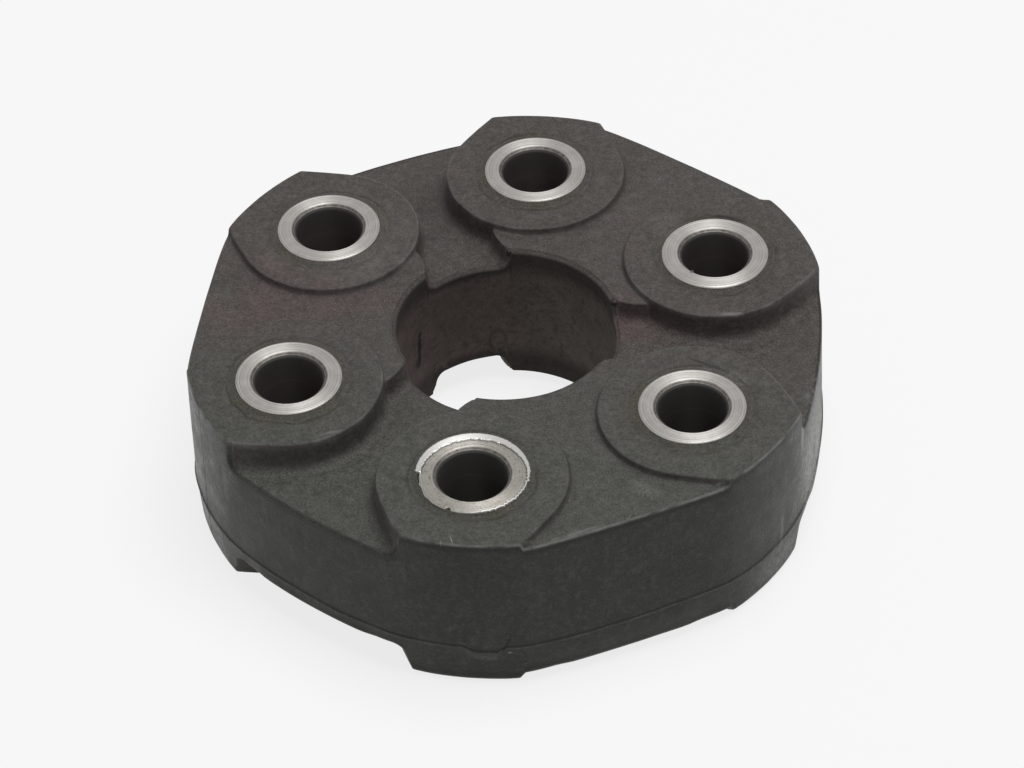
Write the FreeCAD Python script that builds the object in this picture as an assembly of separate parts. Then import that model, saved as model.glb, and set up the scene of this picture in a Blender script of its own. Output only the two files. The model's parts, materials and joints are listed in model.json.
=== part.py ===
import FreeCAD, Part
import math
import os

# Flex disc coupling: a rubber disc moulded round six steel sleeves.
# Millimetres, +Z up. Sleeve 1 lies on +Y and the others follow clockwise seen from above.
# The solids are built up from the lower sleeve ends, at height 0, and saved with the origin
# at the disc's centre, in the middle of the bolt circle.

# sleeves
pitch_radius = 48.0
sleeve_radius = 11.0
sleeve_wall = 3.9
sleeve_length = 40.0
bore_chamfer = 1.15
sleeve_edge_chamfer = 0.25
sleeve_count = 6
sleeve_step = 360.0 / sleeve_count

# cord loops and collars, stacked along each sleeve
loop_thickness = 5.0
middle_loop_height = 12.5
outer_loop_height = 7.5
collar_thickness = 1.0
collar_lip = 1.5

# rubber round the sleeves
pad_cover = 1.85
pad_drop = 0.9
thick_web_drop = 2.5
thin_web_drop = 7.2
foot_radius = 2.5
edge_radius = 0.5

# rubber over the collars at the rim and over the loops at the flats,
# and the outline's growth towards the mould's parting line
rim_cover = 1.9
thick_flat_cover = 6.4
thin_flat_cover = 7.3
parting_rim_growth = 0.6
parting_flat_growth = 1.3
parting_height = 10.7
contour_corner_deg = 10.9
pad_corner_deg = 10.1

# raised plateau of a thick web: where its round corner leaves the centre hole, from the web's middle,
# and how far the corner's radius leans from the hole's own there
plateau_hole_deg = 35.4
plateau_lean_deg = 42.5
plateau_corner_radius = 14.0

# rubber over the loops in the centre hole, which is slightly wider at the lower end
hole_cover = 2.3
hole_growth = 0.8
hole_edge_chamfer = 0.7

# facing step and rolled lip of the worn sleeve
worn_sleeve = 4
lip_overhang = 0.5
lip_offset = 0.3
lip_direction_deg = 60.0
lip_height = 0.45
step_margin = 0.6
step_offset = 0.5
step_direction_deg = 250.0
step_depth = 0.15

# how far the rough forms reach past the outline that they are cut to
rough_allowance = 2.0

# sizes that follow from the ones above
sleeve_bore_radius = sleeve_radius - sleeve_wall
lip_radius = sleeve_radius + lip_overhang
step_radius = sleeve_radius - step_margin
loop_radius = sleeve_radius + loop_thickness
collar_radius = loop_radius + collar_lip
pad_radius = collar_radius + pad_cover
half_step_cos = math.cos(math.radians(sleeve_step / 2))
half_spacing = pitch_radius * math.sin(math.radians(sleeve_step / 2))
web_line = pitch_radius * half_step_cos
rim_radius = pitch_radius + collar_radius + rim_cover
rough_radius = rim_radius + rough_allowance
beyond_rough = rough_radius + rough_allowance
hole_radius = web_line - loop_radius - hole_cover
mid_height = sleeve_length / 2
thin_level = sleeve_length - thin_web_drop
up = FreeCAD.Vector(0, 0, 1)
axis_point = FreeCAD.Vector(0, 0, 0)


def sleeve_angle(number):
    return 90.0 - sleeve_step * (number - 1)


def web_angle(number):
    """Direction of the web between this sleeve and the next one."""
    return sleeve_angle(number) - sleeve_step / 2


def at(radius, degrees, z=0.0):
    turn = math.radians(degrees)
    return FreeCAD.Vector(radius * math.cos(turn), radius * math.sin(turn), z)


def cylinder(radius, low, high, centre):
    return Part.makeCylinder(radius, high - low, FreeCAD.Vector(centre.x, centre.y, low), up)


def prism(wire, low, high):
    face = Part.Face(wire)
    face.translate(FreeCAD.Vector(0, 0, low))
    return face.extrude(FreeCAD.Vector(0, 0, high - low))


def placed(shape, degrees):
    turned = shape.copy()
    turned.rotate(axis_point, up, degrees)
    return turned


def contour(rim, flat_growth, z):
    """Closed outline of the disc: an arc at each sleeve and a crowned flat at each web."""
    edges = []
    for number in range(1, sleeve_count + 1):
        angle = sleeve_angle(number)
        start = at(rim, angle + contour_corner_deg, z)
        end = at(rim, angle - contour_corner_deg, z)
        edges.append(Part.Arc(start, at(rim, angle, z), end).toShape())
        cover = thick_flat_cover if number % 2 else thin_flat_cover
        middle = at(web_line + loop_radius + cover + flat_growth, web_angle(number), z)
        following = at(rim, sleeve_angle(number + 1) + contour_corner_deg, z)
        edges.append(Part.Arc(end, middle, following).toShape())
    return Part.Wire(edges)


def envelope():
    """Outer wall of the disc, widest at the parting line."""
    low = contour(rim_radius, 0.0, 0.0)
    middle = contour(rim_radius + parting_rim_growth, parting_flat_growth, parting_height)
    high = contour(rim_radius, 0.0, sleeve_length)
    lower_part = Part.makeLoft([low, middle], True, True)
    upper_part = Part.makeLoft([middle, high], True, True)
    return lower_part.fuse(upper_part)


def pad_touch():
    """Where a pad's circle runs over into the straight line to the rim, for a pad on the +X axis."""
    corner = at(rim_radius, pad_corner_deg)
    reach = math.hypot(corner.x - pitch_radius, corner.y)
    lean = math.atan2(corner.y, corner.x - pitch_radius)
    turn = lean + math.acos(pad_radius / reach)
    return FreeCAD.Vector(pitch_radius + pad_radius * math.cos(turn), pad_radius * math.sin(turn), 0)


def pad_beyond():
    """The same line's end, past the rim."""
    touch = pad_touch()
    run = at(rim_radius, pad_corner_deg) - touch
    return touch + run * ((beyond_rough - touch.x) / run.x)


def mirrored(point):
    return FreeCAD.Vector(point.x, -point.y, point.z)


def pad_wire():
    """Pad outline on the +X axis: a circle with two tangent lines that run out past the rim."""
    touch = pad_touch()
    beyond = pad_beyond()
    inner = FreeCAD.Vector(pitch_radius - pad_radius, 0, 0)
    return Part.Wire([
        Part.makeLine(beyond, touch),
        Part.Arc(touch, inner, mirrored(touch)).toShape(),
        Part.makeLine(mirrored(touch), mirrored(beyond)),
        Part.makeLine(mirrored(beyond), beyond),
    ])


def plateau_corner():
    """Centre of a plateau's round corner, for a plateau on the +X axis."""
    on_hole = at(hole_radius, plateau_hole_deg)
    return on_hole + at(plateau_corner_radius, plateau_hole_deg - plateau_lean_deg)


def plateau_wire():
    """Outline of a thick web's plateau on the +X axis, from inside the hole to past the rim."""
    centre = plateau_corner()
    inner = centre + at(plateau_corner_radius, 180.0)
    bulge = centre + at(plateau_corner_radius, 135.0)
    side = centre + at(plateau_corner_radius, 90.0)
    sleeve_centre = at(pitch_radius, sleeve_step / 2)
    outer = at(beyond_rough / half_step_cos, sleeve_step / 2)
    return Part.Wire([
        Part.makeLine(outer, sleeve_centre),
        Part.makeLine(sleeve_centre, side),
        Part.Arc(side, bulge, inner).toShape(),
        Part.makeLine(inner, mirrored(inner)),
        Part.Arc(mirrored(inner), mirrored(bulge), mirrored(side)).toShape(),
        Part.makeLine(mirrored(side), mirrored(sleeve_centre)),
        Part.makeLine(mirrored(sleeve_centre), mirrored(outer)),
        Part.makeLine(mirrored(outer), outer),
    ])


def foot_profile(start, outward):
    """Section of the concave foot of a wall that stands on a thin web's upper side."""

    def point(out, rise):
        return start + outward * out + up * (thin_level + rise)

    bulge = foot_radius * (1 - math.sqrt(0.5))
    wall_end = point(0, foot_radius)
    web_end = point(foot_radius, 0)
    below = point(foot_radius, -rough_allowance)
    behind = point(-rough_allowance, -rough_allowance)
    behind_top = point(-rough_allowance, foot_radius)
    return Part.Face(Part.Wire([
        Part.Arc(wall_end, point(bulge, bulge), web_end).toShape(),
        Part.makeLine(web_end, below),
        Part.makeLine(below, behind),
        Part.makeLine(behind, behind_top),
        Part.makeLine(behind_top, wall_end),
    ]))


def round_foot(centre, radius):
    outward = at(1, 0)
    return foot_profile(centre + outward * radius, outward).revolve(centre, up, 360)


def straight_foot(start, end, outward):
    return foot_profile(start, outward).extrude(end - start)


def pad_feet():
    """Concave foot of a pad on the +X axis, round its circle and along its two lines."""
    touch = pad_touch()
    beyond = pad_beyond()
    outward = touch - at(pitch_radius, 0)
    outward.normalize()
    return [
        round_foot(at(pitch_radius, 0), pad_radius),
        straight_foot(touch, beyond, outward),
        straight_foot(mirrored(touch), mirrored(beyond), mirrored(outward)),
    ]


def plateau_feet():
    centre = plateau_corner()
    return [round_foot(point, plateau_corner_radius) for point in (centre, mirrored(centre))]


def samples(edge):
    span = edge.LastParameter - edge.FirstParameter
    return [edge.valueAt(edge.FirstParameter + span * step / 4) for step in range(5)]


def edges_at(shape, drop):
    """Level edges this far below the upper sleeve ends or above the lower ones."""
    found = []
    for edge in shape.Edges:
        for z in (drop, sleeve_length - drop):
            if all(abs(point.z - z) < 1e-6 for point in samples(edge)):
                found.append(edge)
    return found


def reach_of(edge):
    """Smallest distance from the disc's axis along an edge."""
    return min(math.hypot(point.x, point.y) for point in samples(edge))


def stepped_form():
    """Pads, plateaus and thin webs before the outer wall and the hole are cut."""
    form = cylinder(rough_radius, thin_web_drop, thin_level, axis_point)
    plateau = prism(plateau_wire(), thick_web_drop, sleeve_length - thick_web_drop)
    pad = prism(pad_wire(), pad_drop, sleeve_length - pad_drop)
    middle_point = FreeCAD.Vector(0, 0, mid_height)
    around_pad = pad_feet()
    around_plateau = plateau_feet()
    around_pad += [foot.mirror(middle_point, up) for foot in around_pad]
    around_plateau += [foot.mirror(middle_point, up) for foot in around_plateau]
    raised = []
    for number in range(1, sleeve_count + 1):
        raised += [placed(shape, sleeve_angle(number)) for shape in [pad] + around_pad]
        if number % 2:
            raised += [placed(shape, web_angle(number)) for shape in [plateau] + around_plateau]
    return form.multiFuse(raised).removeSplitter()


def hole_radius_at(z):
    return hole_radius + hole_growth * (0.5 - z / sleeve_length)


def centre_hole():
    return Part.makeCone(hole_radius_at(0), hole_radius_at(sleeve_length), sleeve_length, axis_point, up)


def is_hole_rim(edge):
    points = samples(edge)
    heights = [point.z for point in points]
    on_wall = all(abs(math.hypot(point.x, point.y) - hole_radius_at(point.z)) < 1e-3 for point in points)
    return on_wall and max(heights) - min(heights) < mid_height


def with_soft_edges(body):
    """Chamfer the hole's rims, then round the pads, plateaus and outer edges."""
    body = body.makeChamfer(hole_edge_chamfer, [edge for edge in body.Edges if is_hole_rim(edge)])
    outer_reach = web_line + loop_radius + thick_flat_cover - edge_radius
    sharp = edges_at(body, pad_drop)
    sharp += [edge for edge in edges_at(body, thin_web_drop) if reach_of(edge) > outer_reach]
    for edge in edges_at(body, thick_web_drop):
        round_corner = abs(getattr(edge.Curve, "Radius", 0) - plateau_corner_radius) < 1e-3
        if round_corner or reach_of(edge) > outer_reach:
            sharp.append(edge)
    return body.makeFillet(edge_radius, sharp)


def loop_levels():
    """Lower and upper faces of the three loop layers on a sleeve."""
    middle_low = mid_height - middle_loop_height / 2
    middle_high = mid_height + middle_loop_height / 2
    low_top = middle_low - collar_thickness
    high_bottom = middle_high + collar_thickness
    return {
        "lower": (low_top - outer_loop_height, low_top),
        "middle": (middle_low, middle_high),
        "upper": (high_bottom, high_bottom + outer_loop_height),
    }


def stadium(radius, low, high):
    """Rounded bar that reaches round two neighbouring sleeves, on the +X axis."""
    near = web_line - radius
    away = web_line + radius
    corners = [(near, -half_spacing), (near, half_spacing), (away, half_spacing), (away, -half_spacing)]
    a, b, c, d = [FreeCAD.Vector(x, y, 0) for x, y in corners]
    wire = Part.Wire([
        Part.makeLine(a, b),
        Part.Arc(b, FreeCAD.Vector(web_line, half_spacing + radius, 0), c).toShape(),
        Part.makeLine(c, d),
        Part.Arc(d, FreeCAD.Vector(web_line, -half_spacing - radius, 0), a).toShape(),
    ])
    return prism(wire, low, high)


def cord_loop(number, level):
    low, high = loop_levels()[level]
    ring = stadium(loop_radius, low, high).cut(stadium(sleeve_radius, low, high))
    return placed(ring, web_angle(number))


def collar(number, low):
    centre = at(pitch_radius, sleeve_angle(number))
    ring = cylinder(collar_radius, low, low + collar_thickness, centre)
    return ring.cut(cylinder(sleeve_radius, low, low + collar_thickness, centre))


def collar_heights():
    levels = loop_levels()
    return {
        "end_collar_lower": levels["lower"][0] - collar_thickness,
        "spacer_collar_lower": levels["lower"][1],
        "spacer_collar_upper": levels["middle"][1],
        "end_collar_upper": levels["upper"][1],
    }


def sleeve(number):
    """Turned sleeve with chamfered bore mouths."""
    mouth = sleeve_bore_radius + bore_chamfer
    edge = sleeve_radius - sleeve_edge_chamfer
    low_edge = sleeve_edge_chamfer
    high_edge = sleeve_length - sleeve_edge_chamfer
    profile = [
        (sleeve_bore_radius, bore_chamfer),
        (mouth, 0.0),
        (edge, 0.0),
        (sleeve_radius, low_edge),
        (sleeve_radius, high_edge),
        (edge, sleeve_length),
        (mouth, sleeve_length),
        (sleeve_bore_radius, sleeve_length - bore_chamfer),
    ]
    points = [FreeCAD.Vector(r, 0, z) for r, z in profile]
    points.append(points[0])
    solid = Part.Face(Part.makePolygon(points)).revolve(axis_point, up, 360)
    solid.translate(at(pitch_radius, sleeve_angle(number)))
    if number == worn_sleeve:
        solid = worn_end(solid, at(pitch_radius, sleeve_angle(number)))
    return solid


def worn_end(solid, centre):
    """Rolled lip and off-centre facing step on the upper end."""
    lip_centre = centre + at(lip_offset, lip_direction_deg)
    lip = cylinder(lip_radius, sleeve_length - lip_height, sleeve_length, lip_centre)
    inside = cylinder(sleeve_radius - 2 * sleeve_edge_chamfer, 0, sleeve_length, centre)
    solid = solid.fuse(lip.cut(inside)).removeSplitter()
    step_centre = centre + at(step_offset, step_direction_deg)
    return solid.cut(cylinder(step_radius, sleeve_length - step_depth, sleeve_length, step_centre))


def rubber_body(inner_parts):
    """The moulding, with an exact pocket for every piece it is moulded round."""
    body = with_soft_edges(stepped_form().common(envelope()).cut(centre_hole()))
    for number in range(1, sleeve_count + 1):
        body = body.cut(cylinder(sleeve_radius, 0, sleeve_length, at(pitch_radius, sleeve_angle(number))))
    return body.cut(inner_parts)


def inner_pieces():
    pieces = {}
    for number in range(1, sleeve_count + 1):
        following = number % sleeve_count + 1
        levels = ("lower", "upper") if number % 2 else ("middle",)
        for level in levels:
            pieces["cord_loop_%d%d_%s" % (number, following, level)] = cord_loop(number, level)
        for name, low in collar_heights().items():
            pieces["%s_%d" % (name, number)] = collar(number, low)
    return pieces


def save(shape, name):
    shape.translate(up * -mid_height)
    shape.exportStep(os.path.join("parts", name + ".step"))


os.makedirs("parts", exist_ok=True)
hidden = inner_pieces()
save(rubber_body(list(hidden.values())), "rubber_body")
for number in range(1, sleeve_count + 1):
    save(sleeve(number), "steel_sleeve_%d" % number)
for name, shape in hidden.items():
    save(shape, name)
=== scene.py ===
import json
import math
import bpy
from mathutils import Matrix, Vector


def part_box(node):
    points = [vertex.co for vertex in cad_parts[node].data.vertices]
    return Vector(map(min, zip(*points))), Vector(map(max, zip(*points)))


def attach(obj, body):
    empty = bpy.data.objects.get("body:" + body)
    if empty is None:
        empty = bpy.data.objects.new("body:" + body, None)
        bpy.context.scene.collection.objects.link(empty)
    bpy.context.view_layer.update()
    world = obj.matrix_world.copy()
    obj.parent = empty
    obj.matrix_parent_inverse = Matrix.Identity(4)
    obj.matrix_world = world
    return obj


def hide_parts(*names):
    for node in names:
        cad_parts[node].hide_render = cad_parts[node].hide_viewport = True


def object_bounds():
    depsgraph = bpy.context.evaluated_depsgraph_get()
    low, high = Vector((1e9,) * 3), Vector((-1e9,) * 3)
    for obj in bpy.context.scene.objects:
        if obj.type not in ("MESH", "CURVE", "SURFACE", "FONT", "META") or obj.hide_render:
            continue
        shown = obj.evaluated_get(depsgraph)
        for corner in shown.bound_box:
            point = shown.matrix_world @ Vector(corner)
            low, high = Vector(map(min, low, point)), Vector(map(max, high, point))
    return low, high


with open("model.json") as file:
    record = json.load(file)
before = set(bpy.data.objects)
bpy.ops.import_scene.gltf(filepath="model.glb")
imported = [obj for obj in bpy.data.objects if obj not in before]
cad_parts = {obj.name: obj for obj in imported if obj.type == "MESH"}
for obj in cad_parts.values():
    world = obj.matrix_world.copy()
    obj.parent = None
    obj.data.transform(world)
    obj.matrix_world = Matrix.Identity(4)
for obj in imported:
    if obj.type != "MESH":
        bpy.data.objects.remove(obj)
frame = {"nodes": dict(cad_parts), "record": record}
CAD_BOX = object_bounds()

from types import SimpleNamespace

import bmesh
import bpy
import numpy as np
from bpy.props import FloatProperty, FloatVectorProperty, IntProperty, PointerProperty
from mathutils import Matrix, Vector, noise
from mathutils.kdtree import KDTree

bl_info = {
    "name": "Flex Disc Coupling",
    "version": (1, 0, 0),
    "blender": (4, 5, 0),
    "location": "View3D > Sidebar > Flex Disc",
    "description": "Dresses the packed solids of a six-sleeve flex disc and sets up a plain stage",
    "category": "Object",
}

# Lengths are metres in Blender and in the properties; meshes and materials are worked out
# in millimetres.
MM = 0.001
SLEEVES = 6
STEP = math.radians(360 / SLEEVES)
HALF_STEP = STEP / 2

BOLT_CIRCLE = next(m for m in frame["record"]["mounts"] if m["name"] == "bolt_circle")
PITCH_RADIUS = BOLT_CIRCLE["dims"]["pcd_mm"] / 2
BORE_RADIUS = BOLT_CIRCLE["dims"]["hole_r_mm"]
SLEEVE_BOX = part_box("steel_sleeve_1")
SLEEVE_RADIUS = (SLEEVE_BOX[1].x - SLEEVE_BOX[0].x) / 2 / MM
SLEEVE_TOP = SLEEVE_BOX[1].z / MM
WORN_SLEEVE = 4
PEENED_SLEEVE = 2


def sleeve_angle(sleeve):
    """Direction of a sleeve from the disc's axis: sleeve 1 on +Y, the others clockwise."""
    return math.pi / 2 - STEP * (sleeve - 1)


def length(name, description, millimetres):
    return FloatProperty(
        name=name, description=description, default=millimetres * MM, unit="LENGTH", precision=5
    )


def angle(name, description, degrees):
    return FloatProperty(
        name=name, description=description, default=math.radians(degrees), unit="ROTATION"
    )


def number(name, description, value):
    return FloatProperty(name=name, description=description, default=value)


def position(name, description, metres):
    return FloatVectorProperty(
        name=name, description=description, default=metres, subtype="TRANSLATION"
    )


def colour(name, description, value):
    return FloatVectorProperty(
        name=name, description=description, default=value, size=3, subtype="COLOR", min=0, max=1
    )


def count(name, description, value):
    return IntProperty(name=name, description=description, default=value, min=24)


class FlexDiscBodySizes(bpy.types.PropertyGroup):
    """Sizes of the moulded rubber body."""

    pad_radius: length("Pad radius", "Radius of the round pad about its sleeve", 19.35)
    pad_drop: length("Pad drop", "Depth of the pads below the sleeve ends", 0.9)
    thick_drop: length("Thick web drop", "Depth of the thick webs below the sleeve ends", 2.4)
    thin_drop: length("Thin web drop", "Depth of the thin webs at the centre hole", 6.9)
    thin_fall: length("Thin web fall", "How much deeper the thin webs lie at the outer edge", 0.5)
    edge_radius: length("Edge radius", "Rounding of the pads and of the outer edges", 0.5)
    small_foot: length("Pad foot", "Hollow rounding where a pad stands on a thick web", 0.55)
    foot: length("Foot", "Hollow rounding where a wall stands on a thin web", 2.3)
    wall_lean: length("Wall lean", "How far a wall leans out; a third of it on thick webs", 0.3)
    moat: length("Moat", "Depth of the shallow groove along a foot", 0.12)
    rim_radius: length("Rim radius", "Radius of the disc beside a sleeve", 67.4)
    rim_growth: length("Rim growth", "How much the rim grows towards the parting line", 0.6)
    thick_flat: length("Thick flat", "From the axis to the middle of a thick web's flat", 63.97)
    thin_flat: length("Thin flat", "From the axis to the middle of a thin web's flat", 64.87)
    flat_growth: length("Flat growth", "How much a flat grows towards the parting line", 1.3)
    corner: angle("Corner", "Where the rim runs into a flat, from the sleeve's direction", 10.9)
    corner_softness: length("Corner softness", "Softness of that corner", 1.0)
    pad_corner: angle("Pad corner", "Where a pad's straight side meets the rim", 10.1)
    parting: length("Parting height", "Height of the parting line from the disc's middle", -9.3)
    flash: length("Flash", "How far the flash stands out at the parting line", 0.22)
    jog_start: angle("Jog start", "Where the parting line drops under the nearest pad", -89.8)
    jog_end: angle("Jog end", "Where it comes up again", -83.0)
    jog_drop: length("Jog drop", "How far it drops there", 1.4)
    hole_radius: length("Hole radius", "Mean radius of the centre hole", 23.27)
    hole_growth: length("Hole growth", "How much wider the hole is at its lower end", 0.8)
    hole_chamfer: length("Hole chamfer", "Chamfer round the hole's rims", 0.85)
    plateau_radius: length("Plateau corner", "Radius of a thick web's inner corners", 14.0)
    plateau_at: angle("Plateau start", "Where that corner leaves the hole, from the web", 35.4)
    plateau_lean: angle("Plateau lean", "Lean of the corner's radius against the hole's own", 42.5)
    ring_radius: length("Ring radius", "Radius of the moulded line round a sleeve", 13.0)
    ring_depth: length("Ring depth", "Depth of that line", 0.14)
    seat_rise: length("Seat rise", "How far the rubber climbs towards a sleeve", 0.5)
    crease_depth: length("Crease depth", "Depth of the groove along a thin web's edge", 0.14)
    lower_shrink: length("Lower shrink", "How much smaller the pads of the lower side are", 0.9)
    lower_lean: length("Lower lean", "How far a wall leans out on the lower side", 0.9)
    swelling: length("Swelling", "How far the outer wall stands out beyond its shape", 0.25)
    lower_spread: length("Lower spread", "How much further below the parting line", 0.35)
    lean_over: length("Lean over", "How much further on one side, at the top", 0.55)
    lean_direction: angle("Lean direction", "Side to which the upper outline is fuller", 30)
    waviness: length("Waviness", "Height of the soft waves in the moulded faces", 0.05)
    wave_length: length("Wave length", "Distance between those waves", 9.0)


class FlexDiscSleeveSizes(bpy.types.PropertyGroup):
    """Sizes of the turned sleeves."""

    chamfer: length("Bore chamfer", "Chamfer at the mouths of the bore", 0.95)
    edge: length("Outer edge", "Chamfer on the outer edge of a sleeve", 0.25)
    groove_pitch: length("Groove pitch", "Distance between turning marks", 0.16)
    groove_depth: length("Groove depth", "Depth of the turning marks", 0.005)
    lip_overhang: length("Lip overhang", "How far the worn sleeve's lip is rolled out", 0.5)
    lip_offset: length("Lip offset", "How far the rolled lip is off centre", 0.2)
    lip_direction: angle("Lip direction", "Side to which the lip is shifted", 100)
    lip_height: length("Lip height", "Thickness of the rolled lip", 0.45)
    peening: length("Peening", "How far the rim of sleeve 2 is spread", 0.28)
    step_margin: length("Step margin", "Rim left standing round the facing step", 0.25)
    step_offset: length("Step offset", "How far the facing step is off centre", 1.05)
    step_direction: angle("Step direction", "Side to which the facing step is shifted", 292)
    step_depth: length("Step depth", "Depth of the facing step", 0.3)
    worn_segments: count("Worn segments", "Corners round the worn sleeve", 432)
    segments: count("Segments", "Corners round a sleeve", 144)


class FlexDiscFinishes(bpy.types.PropertyGroup):
    """Colours of the finishes."""

    rubber: colour("Rubber", "Bare moulded rubber", (0.041, 0.043, 0.036))
    # Also laid as painted shade along the moulded ring line round the sleeves.
    rubber_dark: colour("Dark rubber", "Darker clouds in the rubber", (0.030, 0.031, 0.026))
    bloom_near: colour("Bloom, near", "Bloom on the near half's faces", (0.079, 0.078, 0.070))
    bloom_far: colour("Bloom, far", "Warmer bloom on the far half's faces", (0.091, 0.075, 0.072))
    bloom_red: colour("Red bloom", "Faint red-brown clouds in the bloom", (0.102, 0.067, 0.069))
    low_wall: colour("Lower wall", "Rubber below the parting line", (0.032, 0.031, 0.028))
    streak: colour("Streaks", "Grey-green streaks down the walls", (0.077, 0.083, 0.072))
    # Darker, redder tone on steep step walls: partly their own redder tone, partly painted shade.
    step_wall_and_shade: colour("Step walls", "Walls of the pads and webs", (0.070, 0.058, 0.054))
    # Also laid as painted shade in creases, under edges, at feet and in the ring line above two sleeves.
    groove: colour("Grooves", "Bottom of fine grooves and creases", (0.016, 0.015, 0.013))
    hole_wall: colour("Hole wall", "Brown-red bloom in the centre hole", (0.128, 0.093, 0.087))
    hole_right: colour("Hole wall, right", "Greyer bloom on its right half", (0.215, 0.185, 0.162))
    # Also laid as painted highlight on edges, a ridge and a corner, and as painted sheen on the right
    # wall.
    dust: colour("Dust", "Pale dust and worn edges", (0.26, 0.26, 0.245))
    grease: colour("Grease", "Olive grease beside the sleeves", (0.050, 0.047, 0.030))
    residue: colour("Residue", "Dried oil and rust beside the sleeves", (0.21, 0.18, 0.125))
    steel: colour("Steel", "Turned steel", (0.28, 0.268, 0.252))
    steel_bright: colour("Bright steel", "Freshly cut marks", (0.49, 0.475, 0.455))
    fresh_steel: colour("Fresh steel", "Standing rim of the worn sleeve", (0.53, 0.52, 0.50))
    stepped_steel: colour("Stepped steel", "Facing step of the worn sleeve", (0.24, 0.22, 0.18))
    # Also laid on the bore chamfers as a painted dark reflection of the surroundings they mirror.
    steel_dark: colour("Dark steel", "Oiled steel in the chamfers", (0.075, 0.062, 0.055))
    bore: colour("Bore", "Brown oxide inside the bores", (0.060, 0.048, 0.044))
    cord: colour("Cord", "Wound polyester cord", (0.62, 0.56, 0.42))
    collar: colour("Collar", "Pressed steel sheet", (0.5, 0.5, 0.5))


class FlexDiscStage(bpy.types.PropertyGroup):
    """Camera and light."""

    lens: number("Lens", "Focal length in millimetres, on a 36 mm wide picture", 129.73)
    stand: position("Camera place", "Where the camera stands", (0.0942, -0.5696, 0.5289))
    aim: position("Camera aim", "Point in the middle of the picture", (0.0008, 0.0002, 0.0))
    roll: angle("Camera roll", "Turn of the camera about its line of sight", -2.3)
    key: number("Key light", "Power of the large lamp overhead", 5.7)
    key_place: position("Key place", "Where that lamp hangs", (0.16, 0.04, 0.9))
    key_size: length("Key size", "Diameter of that lamp", 600)
    sky: number("Sky light", "Strength of the even light from all sides", 0.2)
    floor_tone: colour("Floor tone", "Colour of the floor", (0.86, 0.86, 0.86))
    floor_glow: number("Floor glow", "Share of white in the floor as the camera sees it", 0.8)
    floor_size: length("Floor size", "Half width of the floor", 3000)


def in_millimetres(group):
    """A property group's values, its lengths in millimetres."""
    values = {}
    for prop in group.bl_rna.properties:
        if prop.identifier in {"rna_type", "name"}:
            continue
        value = getattr(group, prop.identifier)
        if prop.type == "FLOAT" and prop.unit == "LENGTH" and not prop.is_array:
            value = value / MM
        values[prop.identifier] = value
    return SimpleNamespace(**values)


def unit(value):
    """A value held between 0 and 1."""
    return np.clip(value, 0, 1)


def bell(distance, middle, width):
    """A smooth hump, 1 at its middle."""
    return np.exp(-((distance - middle) / width) ** 2)


# Outline and heights of the rubber body.
# A half sector runs from a sleeve's direction, on +X, to the middle of one of its webs.

# Rounds until a point whose place depends on its own height or distance stays where it is.
OUTLINE_ROUNDS = 4
HOLE_ROUNDS = 3
# A wall above a thick web leans out less far: its lean is divided by this.
LOW_STEP_PART = 3
# Half widths of the moat, the moulded line, the crease and the flash.
MOAT_WIDTH = 1.5
RING_WIDTH = 0.25
CREASE_WIDTH = 0.22
FLASH_WIDTH = 0.17
# The moat lies at this share of the foot.
MOAT_SHARE = 0.85
# The rubber climbs towards a sleeve from this far inside the moulded line.
SEAT_GAP = 0.2
# The crease lies this far inside the outer edge.
CREASE_INSET = 0.65
# The crease begins this far below a thick web and is full one millimetre deeper.
CREASE_BELOW = 1.5


def lower_side(s):
    """The sizes of the lower side, whose pads are smaller."""
    low = SimpleNamespace(**vars(s))
    low.pad_radius -= s.lower_shrink
    low.pad_corner -= s.lower_shrink / s.rim_radius
    low.wall_lean = s.lower_lean
    return low


def growth_at(s, z):
    """Share of the outline's growth at a height: 0 at both ends, 1 at the parting line."""
    above = (SLEEVE_TOP - z) / (SLEEVE_TOP - s.parting)
    below = (SLEEVE_TOP + z) / (SLEEVE_TOP + s.parting)
    return unit(np.where(z > s.parting, above, below))


def outline(s, turn, growth, thick):
    """Distance from the axis to the outer wall, in the direction turn."""
    rim = s.rim_radius + s.rim_growth * growth
    middle = (s.thick_flat if thick else s.thin_flat) + s.flat_growth * growth
    corner_x = rim * math.cos(HALF_STEP - s.corner)
    corner_y = rim * math.sin(HALF_STEP - s.corner)
    bow = (middle - corner_x) / corner_y ** 2
    from_web = HALF_STEP - turn
    flat = middle / np.cos(from_web)
    for _ in range(OUTLINE_ROUNDS):
        flat = (middle - bow * (flat * np.sin(from_web)) ** 2) / np.cos(from_web)
    return 0.5 * (rim + flat - np.sqrt((rim - flat) ** 2 + s.corner_softness ** 2))


def hole_at(s, z):
    """Radius of the centre hole at a height."""
    return s.hole_radius - s.hole_growth * z / (2 * SLEEVE_TOP)


def tangent_turn(s):
    """Direction, seen from the sleeve, in which a pad's straight side touches its circle."""
    corner_x = s.rim_radius * math.cos(s.pad_corner) - PITCH_RADIUS
    corner_y = s.rim_radius * math.sin(s.pad_corner)
    reach = math.hypot(corner_x, corner_y)
    return math.atan2(corner_y, corner_x) + math.acos(s.pad_radius / reach)


def outside_pad(s, x, y):
    """Distance outside the pad's edge, negative on the pad."""
    away_x = x - PITCH_RADIUS
    touch = tangent_turn(s)
    straight = away_x * math.cos(touch) + y * math.sin(touch)
    on_straight = np.arctan2(y, away_x) < touch
    return np.where(on_straight, straight, np.hypot(away_x, y)) - s.pad_radius


def plateau_centre(s):
    """Centre of the thick web's round corner that reaches over to the thin side."""
    start = s.plateau_at - HALF_STEP
    lean = start - s.plateau_lean
    on_hole = np.array([math.cos(start), math.sin(start)]) * s.hole_radius
    return on_hole + np.array([math.cos(lean), math.sin(lean)]) * s.plateau_radius


def outside_plateau(s, x, y):
    """Distance outside that corner's circle."""
    centre = plateau_centre(s)
    return np.hypot(x - centre[0], y - centre[1]) - s.plateau_radius


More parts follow.
